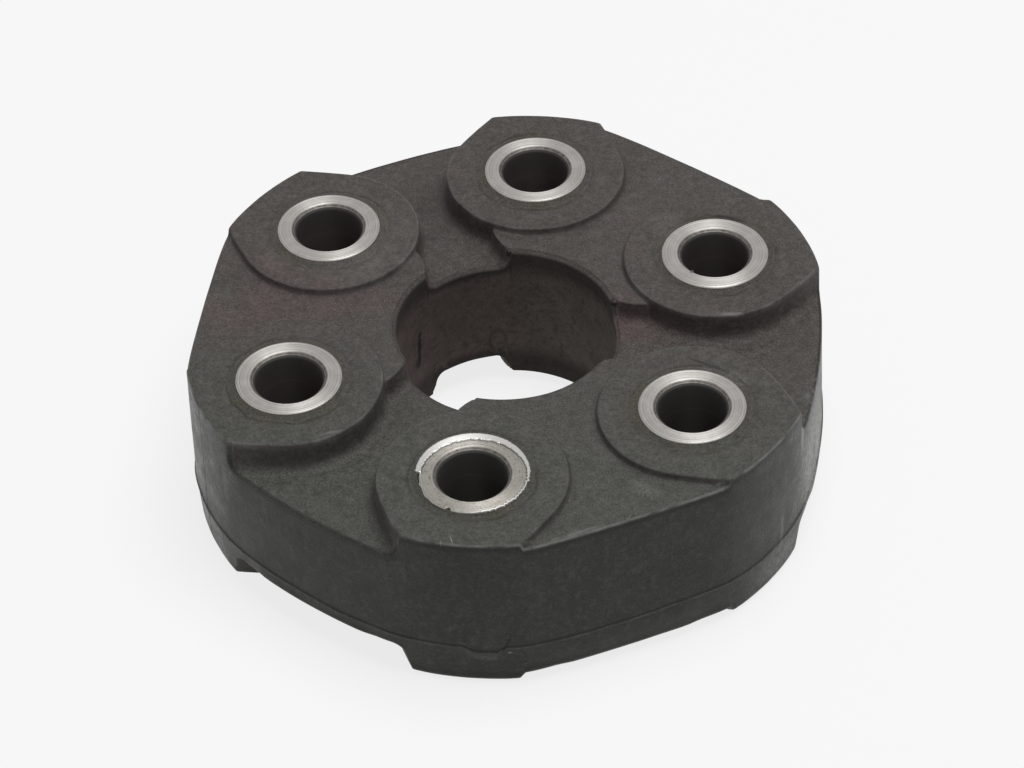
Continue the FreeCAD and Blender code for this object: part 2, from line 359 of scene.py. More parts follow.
def step_profile(out, top, base, edge, lean, foot):
    """Height across a step: rounded edge, leaning wall, hollow foot."""
    past_edge = np.clip(out + edge, 0, edge)
    rounded = top - edge + np.sqrt(np.clip(edge ** 2 - past_edge ** 2, 0, None))
    foot_height = np.minimum(foot, np.maximum(top - edge - base, 0.0))
    wall = (top - edge) + (base + foot_height - top + edge) * unit(out / lean)
    beyond = unit((out - lean) / foot)
    hollow = base + foot_height * (1 - np.sqrt(np.clip(1 - (1 - beyond) ** 2, 0, None)))
    return np.where(out <= 0, rounded, np.where(out < lean, wall, hollow))


def floor_height(s, x, y, out):
    """Upper side of a thin web, with the shallow groove along the feet."""
    away = unit((np.hypot(x, y) - s.hole_radius) / (s.thin_flat - s.hole_radius))
    fall = s.thin_drop + s.thin_fall * away * away * (3 - 2 * away)
    return SLEEVE_TOP - fall - s.moat * bell(out, MOAT_SHARE * s.foot, MOAT_WIDTH)


def surface(s, x, y, thick):
    """Height of the upper side above the disc's middle, before the rims are rounded."""
    pad_top = SLEEVE_TOP - s.pad_drop
    web_top = SLEEVE_TOP - s.thick_drop
    from_pad = outside_pad(s, x, y)
    lean = s.wall_lean / LOW_STEP_PART
    height = step_profile(from_pad, pad_top, web_top, s.edge_radius, lean, s.small_foot)
    if not thick:
        from_plateau = outside_plateau(s, x, y)
        base = floor_height(s, x, y, np.minimum(from_pad, from_plateau))
        high_step = step_profile(from_pad, pad_top, base, s.edge_radius, s.wall_lean, s.foot)
        plateau = step_profile(from_plateau, web_top, base, s.edge_radius, s.wall_lean, s.foot)
        height = np.maximum(np.where(from_plateau < 0, height, high_step), plateau)
    from_sleeve = np.hypot(x - PITCH_RADIUS, y)
    ring = s.ring_depth * bell(from_sleeve, s.ring_radius, RING_WIDTH)
    seat = s.ring_radius - SEAT_GAP
    climb = unit((seat - from_sleeve) / (seat - SLEEVE_RADIUS))
    return height - ring + s.seat_rise * climb ** 2


def inset_from_outline(s, x, y, growth, thick):
    """Distance inside the outer wall."""
    turn = np.arctan2(y, x)
    slant = np.where(turn > s.corner, np.cos(HALF_STEP - turn), 1.0)
    return (outline(s, turn, growth, thick) - np.hypot(x, y)) * slant


def rounded_rims(s, x, y, z, growth, thick):
    """Lowers the heights at the outer edge and at the hole."""
    from_outline = inset_from_outline(s, x, y, growth, thick)
    inset = np.clip(from_outline, 0, s.edge_radius)
    left = np.clip(s.edge_radius ** 2 - (s.edge_radius - inset) ** 2, 0, None)
    drop = s.edge_radius - np.sqrt(left)
    from_hole = np.hypot(x, y) - hole_at(s, z)
    chamfer = np.clip(s.hole_chamfer - from_hole, 0, s.hole_chamfer)
    crease = 0.0 if thick else s.crease_depth * bell(from_outline, CREASE_INSET, CREASE_WIDTH)
    on_thin_web = unit(SLEEVE_TOP - s.thick_drop - CREASE_BELOW - z)
    return z - drop - chamfer - crease * on_thin_web


# Rows and columns of the grids, close together where the moulding bends.
# Offsets in millimetres across a high and a low step, round a sleeve and inside the rims.
STEP_OFFSETS = (-0.5, -0.32, -0.15, -0.04, 0.0, 0.1, 0.3, 0.5, 0.75, 1.05, 1.4, 1.8, 2.25, 2.7, 3.2, 3.9)
LOW_STEP_OFFSETS = (-0.5, -0.32, -0.15, -0.04, 0.0, 0.1, 0.25, 0.42, 0.65)
BEFORE_STEP = -1.2
STRIP_MARGIN = 0.3
SLEEVE_ROWS = (0.0, 0.25, 0.6, 1.2, 1.65, 1.85, 2.0, 2.15, 2.35, 2.8, 3.8, 5.0, 6.2, 7.2)
RIM_ROWS = (1.3, 0.9, 0.65, 0.4, 0.22, 0.08, 0.0)
HOLE_ROWS = (1.5, 1.05, 0.9, 0.8, 0.4, 0.05, 0.0)
# Shares of the strip between a pad and its steps, and of the floor behind them.
STRIP_SHARES = (0.15, 0.32, 0.5, 0.68, 0.85, 1.0)
FLOOR_SHARES = (0.12, 0.27, 0.44, 0.62, 0.8, 1.0)
# Directions of the outer columns in degrees, from the sleeve and from the corner; then those
# along the flat: the first counts from the corner, the last from the sleeve.
RIM_TURNS = (0, 0.5, 2, 4, 5.2, 5.8, 7.2, 8.9)
CORNER_TURNS = (-0.5, -0.2, 0, 0.2, 0.5, 1.1)
FLAT_START = 2.4
FLAT_END = 29.2
FLAT_PITCH = 1.35
# Columns along the middle of a web: distances from its outer end; a stretch between two such
# distances from its ends, with the number of columns; distances from its inner end.
WEB_OUTER_STEPS = (0.12, 0.5)
WEB_MIDDLE = (1.4, 1.6, 18)
WEB_INNER_STEPS = (0.75, 0.35)
THICK_HOLE_COLUMNS = 15
THIN_HOLE_COLUMNS = 13
CROSSING_SAMPLES = 1500
# Rows of the walls: shares of a height, and millimetres above and below the parting line.
UPPER_WALL_SHARES = (0.0, 0.008, 0.018, 0.03, 0.045, 0.07, 0.14, 0.28, 0.46, 0.64, 0.82)
FLASH_ROWS = (1.6, 0.8, 0.42, 0.24, 0.12, 0.0, -0.12, -0.24, -0.42, -0.8, -1.6)
LOWER_WALL_SHARES = (0.3, 0.62, 0.9, 0.97, 1.0)
HOLE_WALL_SHARES = (0.0, 0.02, 0.08, 0.2, 0.34, 0.48, 0.62, 0.76, 0.88, 0.95, 0.985, 1.0)
# The least slant with which a grid's ray may cross a wall.
LEAST_SLANT = 0.35


def boundary_points(s, thick, side):
    """Points round a half sector: outer wall, middle of the web, hole. side is 1 above, -1 below."""
    corner = math.degrees(s.corner)
    end = 360 / SLEEVES / 2
    dense = np.linspace(0, HALF_STEP, CROSSING_SAMPLES)

    def on_outline(turn):
        z = np.full_like(turn, SLEEVE_TOP - s.thick_drop)
        for _ in range(OUTLINE_ROUNDS):
            growth = growth_at(s, side * z)
            reach = outline(s, turn, growth, thick)
            z = surface(s, reach * np.cos(turn), reach * np.sin(turn), thick)
        return reach * np.cos(turn), reach * np.sin(turn), growth

    def on_hole(turn):
        z = np.full_like(turn, SLEEVE_TOP - s.thick_drop)
        for _ in range(HOLE_ROUNDS):
            reach = hole_at(s, side * z)
            z = surface(s, reach * np.cos(turn), reach * np.sin(turn), thick)
        return reach * np.cos(turn), reach * np.sin(turn)

    x, y, _ = on_outline(dense)
    offsets = LOW_STEP_OFFSETS if thick else STEP_OFFSETS
    crossing = np.interp(offsets, outside_pad(s, x, y), dense)
    fixed = list(RIM_TURNS) + [corner + turn for turn in CORNER_TURNS]
    fixed += list(np.arange(corner + FLAT_START, FLAT_END, FLAT_PITCH)) + [end]
    outer = np.stack(on_outline(np.sort(np.concatenate([crossing, np.radians(fixed)]))), 1)

    columns = THICK_HOLE_COLUMNS if thick else THIN_HOLE_COLUMNS
    turns = np.radians(np.linspace(end, 0, columns))
    if not thick:
        x, y = on_hole(dense)
        crossing = np.interp(STEP_OFFSETS, outside_plateau(s, x, y), dense)
        turns = np.sort(np.concatenate([crossing, turns]))[::-1]
    x, y = on_hole(turns)
    hole = np.stack([x, y, np.zeros_like(x)], 1)

    far = math.hypot(*outer[-1, :2])
    near = math.hypot(*hole[0, :2])
    from_far, from_near, between = WEB_MIDDLE
    reach = [far - step for step in WEB_OUTER_STEPS]
    reach += list(np.linspace(far - from_far, near + from_near, between))
    reach = np.array(reach + [near + step for step in WEB_INNER_STEPS])
    growth = np.full_like(reach, outer[-1, 2])
    middle = np.stack([reach * math.cos(HALF_STEP), reach * math.sin(HALF_STEP), growth], 1)
    return outer, middle, hole


def half_sector(s, thick, side):
    """Grid of the upper or lower side of a half sector: one column for each boundary point."""
    outer, middle, hole = boundary_points(s, thick, side)
    points = np.concatenate([outer, middle, hole])
    on_outer = np.arange(len(points)) < len(outer)
    on_hole = np.arange(len(points)) >= len(outer) + len(middle)
    to_x = points[:, 0] - PITCH_RADIUS
    to_y = points[:, 1]
    reach = np.hypot(to_x, to_y)
    ray = np.stack([to_x / reach, to_y / reach], 1)
    turn = np.arctan2(points[:, 1], points[:, 0])
    normal_turn = np.where(on_outer & (turn > s.corner), HALF_STEP, turn)
    normal = np.stack([np.cos(normal_turn), np.sin(normal_turn)], 1)
    slant = np.clip(np.abs((ray * normal).sum(1)), LEAST_SLANT, 1)

    def rim_row(offset, hole_offset):
        back = np.where(on_outer, offset, np.where(on_hole, hole_offset, 0.0))
        return reach - back / slant

    limit = rim_row(RIM_ROWS[0], HOLE_ROWS[0])
    seen = np.arctan2(ray[:, 1], ray[:, 0])
    lengthening = 1 / np.cos(np.minimum(seen - tangent_turn(s), 0))

    def pad_row(offset):
        return (s.pad_radius + offset) * lengthening

    centre = plateau_centre(s) - np.array([PITCH_RADIUS, 0.0])
    along = ray @ centre
    aside = centre @ centre - along ** 2

    def plateau_row(offset):
        inside = (s.plateau_radius + offset) ** 2 - aside
        crossing = along + np.sqrt(np.clip(inside, 0, None))
        return np.where((inside > 0) & (not thick), crossing, 0.0)

    rows = [np.minimum(SLEEVE_RADIUS + offset, limit) for offset in SLEEVE_ROWS]
    rows += [np.minimum(pad_row(offset), limit) for offset in (BEFORE_STEP,) + LOW_STEP_OFFSETS]
    strip_start = rows[-1]
    strip_end = limit
    if not thick:
        strip_end = np.clip(plateau_row(STEP_OFFSETS[0] - STRIP_MARGIN), strip_start, limit)
    rows += [strip_start + (strip_end - strip_start) * share for share in STRIP_SHARES]
    for offset in STEP_OFFSETS:
        step = limit
        if not thick:
            step = np.maximum(pad_row(max(offset, LOW_STEP_OFFSETS[-1])), plateau_row(offset))
        rows.append(np.clip(step, rows[-1], limit))
    floor_start = rows[-1]
    rows += [floor_start + (limit - floor_start) * share for share in FLOOR_SHARES]
    rows += [rim_row(offset, at_hole) for offset, at_hole in zip(RIM_ROWS, HOLE_ROWS)][1:]
    rows = np.maximum.accumulate(np.array(rows), 0)
    x = PITCH_RADIUS + rows * ray[:, 0]
    y = rows * ray[:, 1]
    growth = np.broadcast_to(points[:, 2], x.shape)
    z = rounded_rims(s, x, y, surface(s, x, y, thick), growth, thick)
    return np.stack([x, y, side * z], 2), len(outer), len(hole)


def wall_rows(top, bottom, levels, reach_at):
    """Rows of a wall between its upper and lower edge, at the given heights."""
    turn_top = np.arctan2(top[:, 1], top[:, 0])
    turn_bottom = np.arctan2(bottom[:, 1], bottom[:, 0])
    rows = []
    for z in levels:
        share = (top[:, 2] - z) / (top[:, 2] - bottom[:, 2])
        turn = turn_top + (turn_bottom - turn_top) * share
        reach = reach_at(turn, z)
        rows.append(np.stack([reach * np.cos(turn), reach * np.sin(turn), z], 1))
    rows[0] = top
    rows[-1] = bottom
    return np.array(rows)


def outer_wall(s, top, bottom, thick):
    """The outer wall, with the flash at the parting line."""

    def reach_at(turn, z):
        stands_out = s.flash * bell(z, s.parting, FLASH_WIDTH)
        return outline(s, turn, growth_at(s, z), thick) + stands_out

    first = s.parting + FLASH_ROWS[0]
    last = s.parting + FLASH_ROWS[-1]
    levels = [top[:, 2] + (first - top[:, 2]) * share for share in UPPER_WALL_SHARES]
    levels += [np.full(len(top), s.parting + row) for row in FLASH_ROWS]
    levels += [last + (bottom[:, 2] - last) * share for share in LOWER_WALL_SHARES]
    return wall_rows(top, bottom, levels, reach_at)


def hole_wall(s, top, bottom):
    """The wall of the centre hole."""
    levels = [top[:, 2] + (bottom[:, 2] - top[:, 2]) * share for share in HOLE_WALL_SHARES]
    return wall_rows(top, bottom, levels, lambda turn, z: hole_at(s, z))


# Points nearer to each other than this are welded, in millimetres.
WELD = 0.004
SLEEVE_WELD = 0.002


class MeshParts:
    """Collects grids of points in millimetres and turns them into one welded mesh."""

    def __init__(self):
        self.points = []
        self.faces = []
        self.count = 0

    def add_grid(self, grid, turn, mirrored, flipped, closed=False):
        rows, columns = grid.shape[:2]
        x, y, z = grid.reshape(-1, 3).T
        if mirrored:
            y = -y
        c, n = math.cos(turn), math.sin(turn)
        self.points.append(np.stack([x * c - y * n, x * n + y * c, z], 1))
        index = np.arange(rows * columns).reshape(rows, columns) + self.count
        if closed:
            index = np.concatenate([index, index[:, :1]], 1)
        corners = [index[:-1, :-1], index[1:, :-1], index[1:, 1:], index[:-1, 1:]]
        quads = np.stack(corners, 2).reshape(-1, 4)
        if mirrored != flipped:
            quads = quads[:, ::-1]
        self.faces.append(quads)
        self.count += rows * columns

    def build(self, name, weld=WELD):
        points = np.concatenate(self.points) * MM
        faces = np.concatenate(self.faces)
        mesh = bpy.data.meshes.new(name)
        mesh.from_pydata(points.tolist(), [], faces.tolist())
        work = bmesh.new()
        work.from_mesh(mesh)
        bmesh.ops.remove_doubles(work, verts=work.verts, dist=weld * MM)
        bmesh.ops.dissolve_degenerate(work, edges=work.edges, dist=weld * MM / 2)
        work.to_mesh(mesh)
        work.free()
        mesh.shade_smooth()
        piece = bpy.data.objects.new(name, mesh)
        bpy.context.scene.collection.objects.link(piece)
        return piece


def vertex_values(mesh, kind):
    """The vertices' places ("co") or normals, one row each."""
    values = np.zeros(len(mesh.vertices) * 3)
    mesh.vertices.foreach_get(kind, values)
    return values.reshape(-1, 3)


def move_vertices(mesh, points):
    """Moves the vertices to points in millimetres."""
    mesh.vertices.foreach_set("co", (points * MM).ravel())
    mesh.update()


def store_marks(mesh, marks):
    """Stores one number a vertex under each name, for the materials."""
    for name, values in marks.items():
        layer = mesh.attributes.new(name, "FLOAT", "POINT")
        layer.data.foreach_set("value", np.asarray(values, np.float32))


def waves(mesh, height, size):
    """Soft unevenness of a moulded surface, along the vertex normals."""
    points = vertex_values(mesh, "co") / MM
    lift = np.array([noise.noise(Vector(point) / size) for point in points])
    move_vertices(mesh, points + vertex_values(mesh, "normal") * (lift * height)[:, None])


# Small waves of the parting line: height in millimetres, times round the disc, phase.
LINE_WAVES = ((0.12, 9, 0), (0.06, 31, 1))
# Rows follow the line's course less and less over one span, and not beyond this many spans.
JOG_SPAN = 3.5
JOG_REACH = 1.6
# Rows nearer to the thin webs' faces than this don't follow it.
JOG_CLEARANCE = 3.0
# Points at those heights and further than this from the hole are on the outer wall.
WALL_FROM_HOLE = 20.0
# The wall's shift grows over this depth; the fuller side keeps this share of its lean below.
SWELL_DEPTH = 4.0
LEAN_SHARE_BELOW = 0.4
# The lower spread fades in over this angle in radians beside a pad's corner, and over this
# height below the parting line.
PAD_FADE = 0.05
SPREAD_FADE = 3.0


def parting_jog(s, x, y):
    """How much deeper the parting line runs: a jog under the nearest pad, and small waves."""
    turn = np.arctan2(y, x)
    started = unit(np.degrees(turn - s.jog_start))
    ended = unit(np.degrees(s.jog_end - turn))
    small = sum(height * np.sin(turn * times + phase) for height, times, phase in LINE_WAVES)
    return s.jog_drop * started * ended + small


def jog_parting_line(mesh, s):
    """Lets the rows of the outer wall follow the parting line's course."""
    points = vertex_values(mesh, "co") / MM
    x, y, z = points.T
    on_wall = np.hypot(x, y) > s.hole_radius + WALL_FROM_HOLE
    free = np.abs(z) < SLEEVE_TOP - s.thin_drop - JOG_CLEARANCE
    share = unit(JOG_REACH - np.abs(z - s.parting) / JOG_SPAN)
    points[:, 2] -= parting_jog(s, x, y) * share * on_wall * free
    move_vertices(mesh, points)


def swell(mesh, s):
    """Moves the outer wall out, further on the fuller side."""
    points = vertex_values(mesh, "co") / MM
    x, y, z = points.T
    reach = np.hypot(x, y)
    turn = np.arctan2(y, x)
    near_wall = unit((reach - PITCH_RADIUS - SLEEVE_RADIUS) / SWELL_DEPTH)
    fuller = unit(np.cos(turn - s.lean_direction))
    high = unit((z - s.parting) / (SLEEVE_TOP - s.parting))
    rise = LEAN_SHARE_BELOW + (1 - LEAN_SHARE_BELOW) * high
    from_sleeve = np.abs((turn - HALF_STEP) % STEP - HALF_STEP)
    at_pad = unit((s.corner + PAD_FADE - from_sleeve) / PAD_FADE)
    low = at_pad * unit((s.parting - z) / SPREAD_FADE)
    out = near_wall * (s.swelling + s.lean_over * fuller * rise + s.lower_spread * low)
    points[:, :2] *= (1 + out / reach)[:, None]
    move_vertices(mesh, points)


# Bands of wear with painted highlight, and bands of painted shade, along the edges: middle and half
# width in millimetres, or the half width alone.
PAD_WEAR = (-0.1, 0.22)
RIM_WEAR = (0.12, 0.13)
FLASH_WEAR = 0.15
WEB_EDGE = (0.38, 0.2)
UNDER_EDGE = (0.7, 0.55)
PAD_FOOT = (0.4, 0.25)
SEAM = (0.36, 0.2)
HOLE_EDGE = (0.0, 0.25)
CHAMFER_EDGE = 0.12
# How strong they are, for the near half first where there are two.
PAD_WEAR_ON_THICK = 0.35
RIM_WEAR_AND_HIGHLIGHT_STRENGTH = (2.2, 0.8)
FLASH_WEAR_STRENGTH = 0.8
UNDER_EDGE_STRENGTH = (0.9, 0.35)
PAD_FOOT_STRENGTH = 0.6
HOLE_EDGE_STRENGTH = 0.85
CHAMFER_EDGE_SHARE = 0.7
# Insets from the outer wall, and depths about the webs' own, that keep the bands to their edges.
ON_WALL = 0.5
UNDER_EDGE_INSET = 0.6
OUTSIDE_FADE = 1.2
ABOVE_THICK = 0.5
RIM_DEPTH = 0.9
FOOT_DEPTH = 0.3
BELOW_THICK = 2.0
THIN_DEPTH = 1.6
RIM_BELOW_TOP = 0.1


def folded(x, y):
    """Points folded into the half sector, and which of them belong to a thick web."""
    turn = np.arctan2(x, y)
    near = np.round(turn / STEP)
    rest = turn - near * STEP
    reach = np.hypot(x, y)
    thick = (rest > 0) == (near % 2 == 0)
    return reach * np.cos(rest), reach * np.sin(np.abs(rest)), thick


def on_either_web(thick, function, *values):
    """A function's results for thick webs and for thin ones, each where it belongs."""
    return np.where(thick, function(*values, True), function(*values, False))


def edge_marks(s, points):
    """How worn the moulding is, with painted highlight on its edges; how much painted shade lies in its
    creases, under its edges and at its feet, and how dark the hole's rims are; and how near the outer
    wall.
    """
    x, y, z = points.T
    local_x, local_y, thick = folded(x, y)
    growth = growth_at(s, z)
    level = SLEEVE_TOP - np.abs(z)
    inset = on_either_web(thick, inset_from_outline, s, local_x, local_y, growth)
    top = on_either_web(thick, surface, s, local_x, local_y)
    below = top - np.abs(z)
    from_lower_pad = outside_pad(lower_side(s), local_x, local_y)
    from_pad = np.where(z > 0, outside_pad(s, local_x, local_y), from_lower_pad)
    from_hole = np.hypot(x, y) - hole_at(s, z)
    parting = s.parting - parting_jog(s, x, y)

    # Wear with painted highlight: pale bands on the pad and rim edges and on the flash, the rim's much
    # stronger on the near half.
    pad = bell(from_pad, *PAD_WEAR) * (level < s.thick_drop - ABOVE_THICK)
    pad = pad * np.where(thick, PAD_WEAR_ON_THICK, 1.0)
    rim = bell(inset, *RIM_WEAR) * (level < s.thick_drop + RIM_DEPTH)
    rim = rim * (below < s.edge_radius + RIM_BELOW_TOP) * np.where(y < 0, *RIM_WEAR_AND_HIGHLIGHT_STRENGTH)
    flash = bell(z, parting, FLASH_WEAR) * (inset < ON_WALL) * FLASH_WEAR_STRENGTH

    # Painted shade: dark bands in the thin webs' creases, under the rounded edges (stronger on the near
    # half), at the pads' feet and above the flash; darker bands at the hole's rims too.
    web_edge = bell(inset, *WEB_EDGE) * (level > s.thick_drop + BELOW_THICK)
    web_edge = web_edge * (level < s.thin_drop + THIN_DEPTH)
    under_middle, under_width = UNDER_EDGE
    under_edge = bell(below, s.edge_radius + under_middle, under_width) * (inset < UNDER_EDGE_INSET)
    under_edge = under_edge * np.where(y < 0, *UNDER_EDGE_STRENGTH)
    pad_foot = bell(from_pad, *PAD_FOOT) * thick * (level < s.thick_drop + FOOT_DEPTH)
    seam_above, seam_width = SEAM
    seam = bell(z, parting + seam_above, seam_width) * (inset < ON_WALL)
    chamfer_edge = CHAMFER_EDGE_SHARE * bell(from_hole, s.hole_chamfer, CHAMFER_EDGE)
    hole_edge = np.maximum(bell(from_hole, *HOLE_EDGE), chamfer_edge)
    hole_edge = hole_edge * (level < s.thin_drop + THIN_DEPTH) * HOLE_EDGE_STRENGTH
    creases = [web_edge, under_edge, pad_foot * PAD_FOOT_STRENGTH, seam, hole_edge]
    return {
        "worn_edge": np.clip(np.maximum.reduce([pad, rim, flash]), 0, RIM_WEAR_AND_HIGHLIGHT_STRENGTH[0]),
        "crease": unit(np.maximum.reduce(creases)),
        "outside": unit(1.0 - inset / OUTSIDE_FADE),
    }


class Nodes:
    """Short ways to add and link shader nodes. Lengths are in millimetres."""

    def __init__(self, name):
        self.material = bpy.data.materials.new(name)
        self.material.use_nodes = True
        self.tree = self.material.node_tree
        self.tree.nodes.clear()
        self.shader = self.add("ShaderNodeBsdfPrincipled")
        output = self.add("ShaderNodeOutputMaterial")
        self.link(self.shader.outputs["BSDF"], output.inputs["Surface"])
        self.place = self.add("ShaderNodeTexCoord").outputs["Object"]

    def add(self, kind, **settings):
        node = self.tree.nodes.new(kind)
        for key, value in settings.items():
            setattr(node, key, value)
        return node

    def link(self, source, target):
        """Links a socket, or sets a plain value."""
        if hasattr(source, "is_output"):
            self.tree.links.new(source, target)
        else:
            target.default_value = source

    def feed(self, name, source):
        self.link(source, self.shader.inputs[name])

    def math(self, operation, first, second=0.0):
        node = self.add("ShaderNodeMath", operation=operation)
        self.link(first, node.inputs[0])
        self.link(second, node.inputs[1])
        return node.outputs[0]

    def times(self, first, *others):
        for other in others:
            first = self.math("MULTIPLY", first, other)
        return first

    def plus(self, first, second):
        return self.math("ADD", first, second)

    def minus(self, first, second):
        return self.math("SUBTRACT", first, second)

    def apart(self, first, second):
        return self.math("ABSOLUTE", self.minus(first, second))

    def hypot(self, first, second):
        return self.math("SQRT", self.plus(self.times(first, first), self.times(second, second)))

    def between(self, value, low, high, to_low=0.0, to_high=1.0):
        """Smooth rise from to_low to to_high as value goes from low to high."""
        node = self.add("ShaderNodeMapRange", interpolation_type="SMOOTHSTEP")
        for target, source in zip(node.inputs, (value, low, high, to_low, to_high)):
            self.link(source, target)
        return node.outputs[0]

    def mix(self, share, first, second):
        node = self.add("ShaderNodeMix", data_type="RGBA")
        self.link(share, node.inputs[0])
        for target, source in ((node.inputs[6], first), (node.inputs[7], second)):
            self.link(source if hasattr(source, "is_output") else (*source, 1.0), target)
        return node.outputs[2]

    def veil(self, tone, cover, source, start, full, strength, *shares):
        """Lays the cover over a tone, more as the source goes from start to full."""
        share = self.between(source, start, full, 0.0, strength)
        return self.mix(self.times(share, *shares), tone, cover)

    def noise(self, size, detail=2.0, roughness=0.5, vector=None, distortion=0.0):
        """Noise whose features are about size wide."""
        node = self.add("ShaderNodeTexNoise")
        self.link(vector or self.place, node.inputs["Vector"])
        node.inputs["Scale"].default_value = 1 / (size * MM)
        node.inputs["Detail"].default_value = detail
        node.inputs["Roughness"].default_value = roughness
        node.inputs["Distortion"].default_value = distortion
        return node.outputs["Fac"]

    def stretched(self, size, scale, turn=(0, 0, 0), detail=3.0):
        """Noise drawn out along an axis: a small scale gives long features."""
        node = self.add("ShaderNodeMapping")
        self.link(self.place, node.inputs["Vector"])
        node.inputs["Rotation"].default_value = [math.radians(v) for v in turn]
        node.inputs["Scale"].default_value = scale
        return self.noise(size, detail, 0.6, node.outputs[0])

    def rings(self, distance, size, detail=1.0):
        """Noise that changes only with a distance."""
        node = self.add("ShaderNodeTexNoise", noise_dimensions="1D")
        self.link(self.math("DIVIDE", distance, size), node.inputs["W"])
        node.inputs["Scale"].default_value = 1.0
        node.inputs["Detail"].default_value = detail
        return node.outputs["Fac"]

    def near(self, place, size, turn):
        """Distance from a place, 1 on the ellipsoid of that size; turn in degrees."""
        node = self.add("ShaderNodeMapping", vector_type="TEXTURE")
        self.link(self.place, node.inputs["Vector"])
        node.inputs["Location"].default_value = [v * MM for v in place]
        node.inputs["Rotation"].default_value = [math.radians(v) for v in turn]
        node.inputs["Scale"].default_value = [v * MM for v in size]
        away = self.add("ShaderNodeVectorMath", operation="LENGTH")
        self.link(node.outputs[0], away.inputs[0])
        return away.outputs["Value"]

    def bump(self, height, depth, under=None):
        """Bump whose full height is depth."""
        node = self.add("ShaderNodeBump")
        self.link(height, node.inputs["Height"])
        node.inputs["Strength"].default_value = 1.0
        node.inputs["Distance"].default_value = depth * MM
        if under is not None:
            self.link(under, node.inputs["Normal"])
        return node.outputs[0]

    def attribute(self, name):
        return self.add("ShaderNodeAttribute", attribute_name=name).outputs["Fac"]

    def split(self, vector):
        node = self.add("ShaderNodeSeparateXYZ")
        self.link(vector, node.inputs[0])
        return node.outputs

    def coordinates(self):
        node = self.add("ShaderNodeVectorMath", operation="SCALE")
        self.link(self.place, node.inputs[0])
        node.inputs["Scale"].default_value = 1 / MM
        return self.split(node.outputs[0])

    def sleeve_place(self):
        """Distance from the nearest sleeve's axis and from the disc's axis, and the height."""
        x, y, z = self.coordinates()
        reach = self.hypot(x, y)
        turn = self.math("ARCTAN2", x, y)
        steps = self.math("ROUND", self.math("DIVIDE", turn, STEP))
        rest = self.minus(turn, self.times(steps, STEP))
        along = self.minus(self.times(reach, self.math("COSINE", rest)), PITCH_RADIUS)
        aside = self.times(reach, self.math("SINE", rest))
        return self.hypot(along, aside), reach, z


# Marks on the rubber: place and half size in millimetres, turn in degrees, strength.
DARK_MARKS = {
    "crease_in_hole": ((-20.9, 10.6, -2.3), (0.85, 1.6, 6.6), (0, 5, 62), 1.0),
    "second_crease": ((-21.3, 9.5, -4.5), (0.4, 1.5, 3.0), (0, -6, 64), 0.8),
    "torn_corner_6": ((-20.8, 11.8, 16.4), (1.5, 1.0, 1.0), (0, 0, 60), 0.75),
    "torn_corner_1": ((-2.4, 23.7, 16.4), (1.6, 0.9, 1.1), (0, 0, 80), 0.75),
    "torn_corner_2": ((22.1, 9.7, 16.4), (1.4, 0.9, 1.0), (0, 0, 20), 0.75),
    # Painted shade in the far side of the moulded ring line above sleeves 2 and 3.
    "arc_above_sleeve_2": ((43.0, 36.5, 19.0), (6.5, 0.7, 0.8), (0, 0, -12), 0.6),
    "arc_above_sleeve_3": ((44.0, -10.6, 19.0), (6.0, 0.6, 0.8), (0, 0, -20), 0.6),
    "tear_by_parting_line": ((8.5, -67.6, -8.8), (0.3, 1.2, 3.7), (0, 23, 0), 0.9),
    "pit_right_a": ((60.8, -30.3, -13.2), (2.0, 0.9, 0.55), (0, 0, -26), 0.9),
    "pit_right_b": ((62.0, -28.0, -15.9), (2.0, 0.8, 0.5), (0, 0, -25), 0.8),
    # Olive grime and painted shade on web 6-1 at pad 1's foot.
    "grimy_web_61": ((-20.0, 42.0, 13.2), (10.0, 15.0, 3.5), (0, 0, 0), 0.24),
    "grease_in_sleeve_2_ring": ((40.0, 30.5, 19.0), (1.6, 4.2, 1.0), (0, 0, 40), 0.35),
}
PALE_MARKS = {
    "spot_by_tear": ((9.3, -67.4, -10.7), (0.7, 0.8, 0.4), (0, 0, 0), 0.9),
    "scratch_front_a": ((-3.6, -67.2, 18.8), (0.2, 0.6, 0.8), (0, 0, 14), 0.8),
    "scratch_front_b": ((-1.6, -66.2, 19.0), (0.17, 1.9, 0.9), (0, 0, 22), 0.9),
    # Painted highlights along the lit edges of pads 2 and 5; on the front edge, wear with painted
    # highlight.
    "worn_front_edge": ((22.0, -60.5, 17.3), (9.0, 0.7, 0.8), (0, 0, 30), 0.5),
    "worn_pad_2_edge": ((45.3, 5.6, 18.8), (6.5, 0.6, 0.7), (0, 0, 8), 0.6),
    "worn_pad_5_edge": ((-30.3, -38.5, 18.8), (4.5, 0.6, 0.7), (0, 0, 25), 0.45),
    # Painted highlights on a ridge of the right wall and at pad 3's corner.
    "ridge_right": ((59.8, -30.3, -5.5), (2.5, 1.2, 6.5), (0, 0, -26), 0.75),
    "corner_right": ((64.2, -22.0, 11.5), (1.6, 1.5, 7.5), (0, 0, -20), 0.95),
    "scratch_right": ((42.5, -51.8, 1.8), (2.4, 2.0, 0.4), (0, -48, 39), 0.6),
    "haze_pad_6": ((-38.0, 21.0, 19.0), (22.0, 20.0, 1.9), (0, 0, 0), 0.11),
    "bead": ((37.2, 17.3, 19.9), (1.1, 1.1, 1.0), (0, 0, 0), 0.5),
    "streak_left": ((-52.5, -43.4, 8.0), (1.6, 1.6, 7.0), (0, 0, 0), 0.35),
}
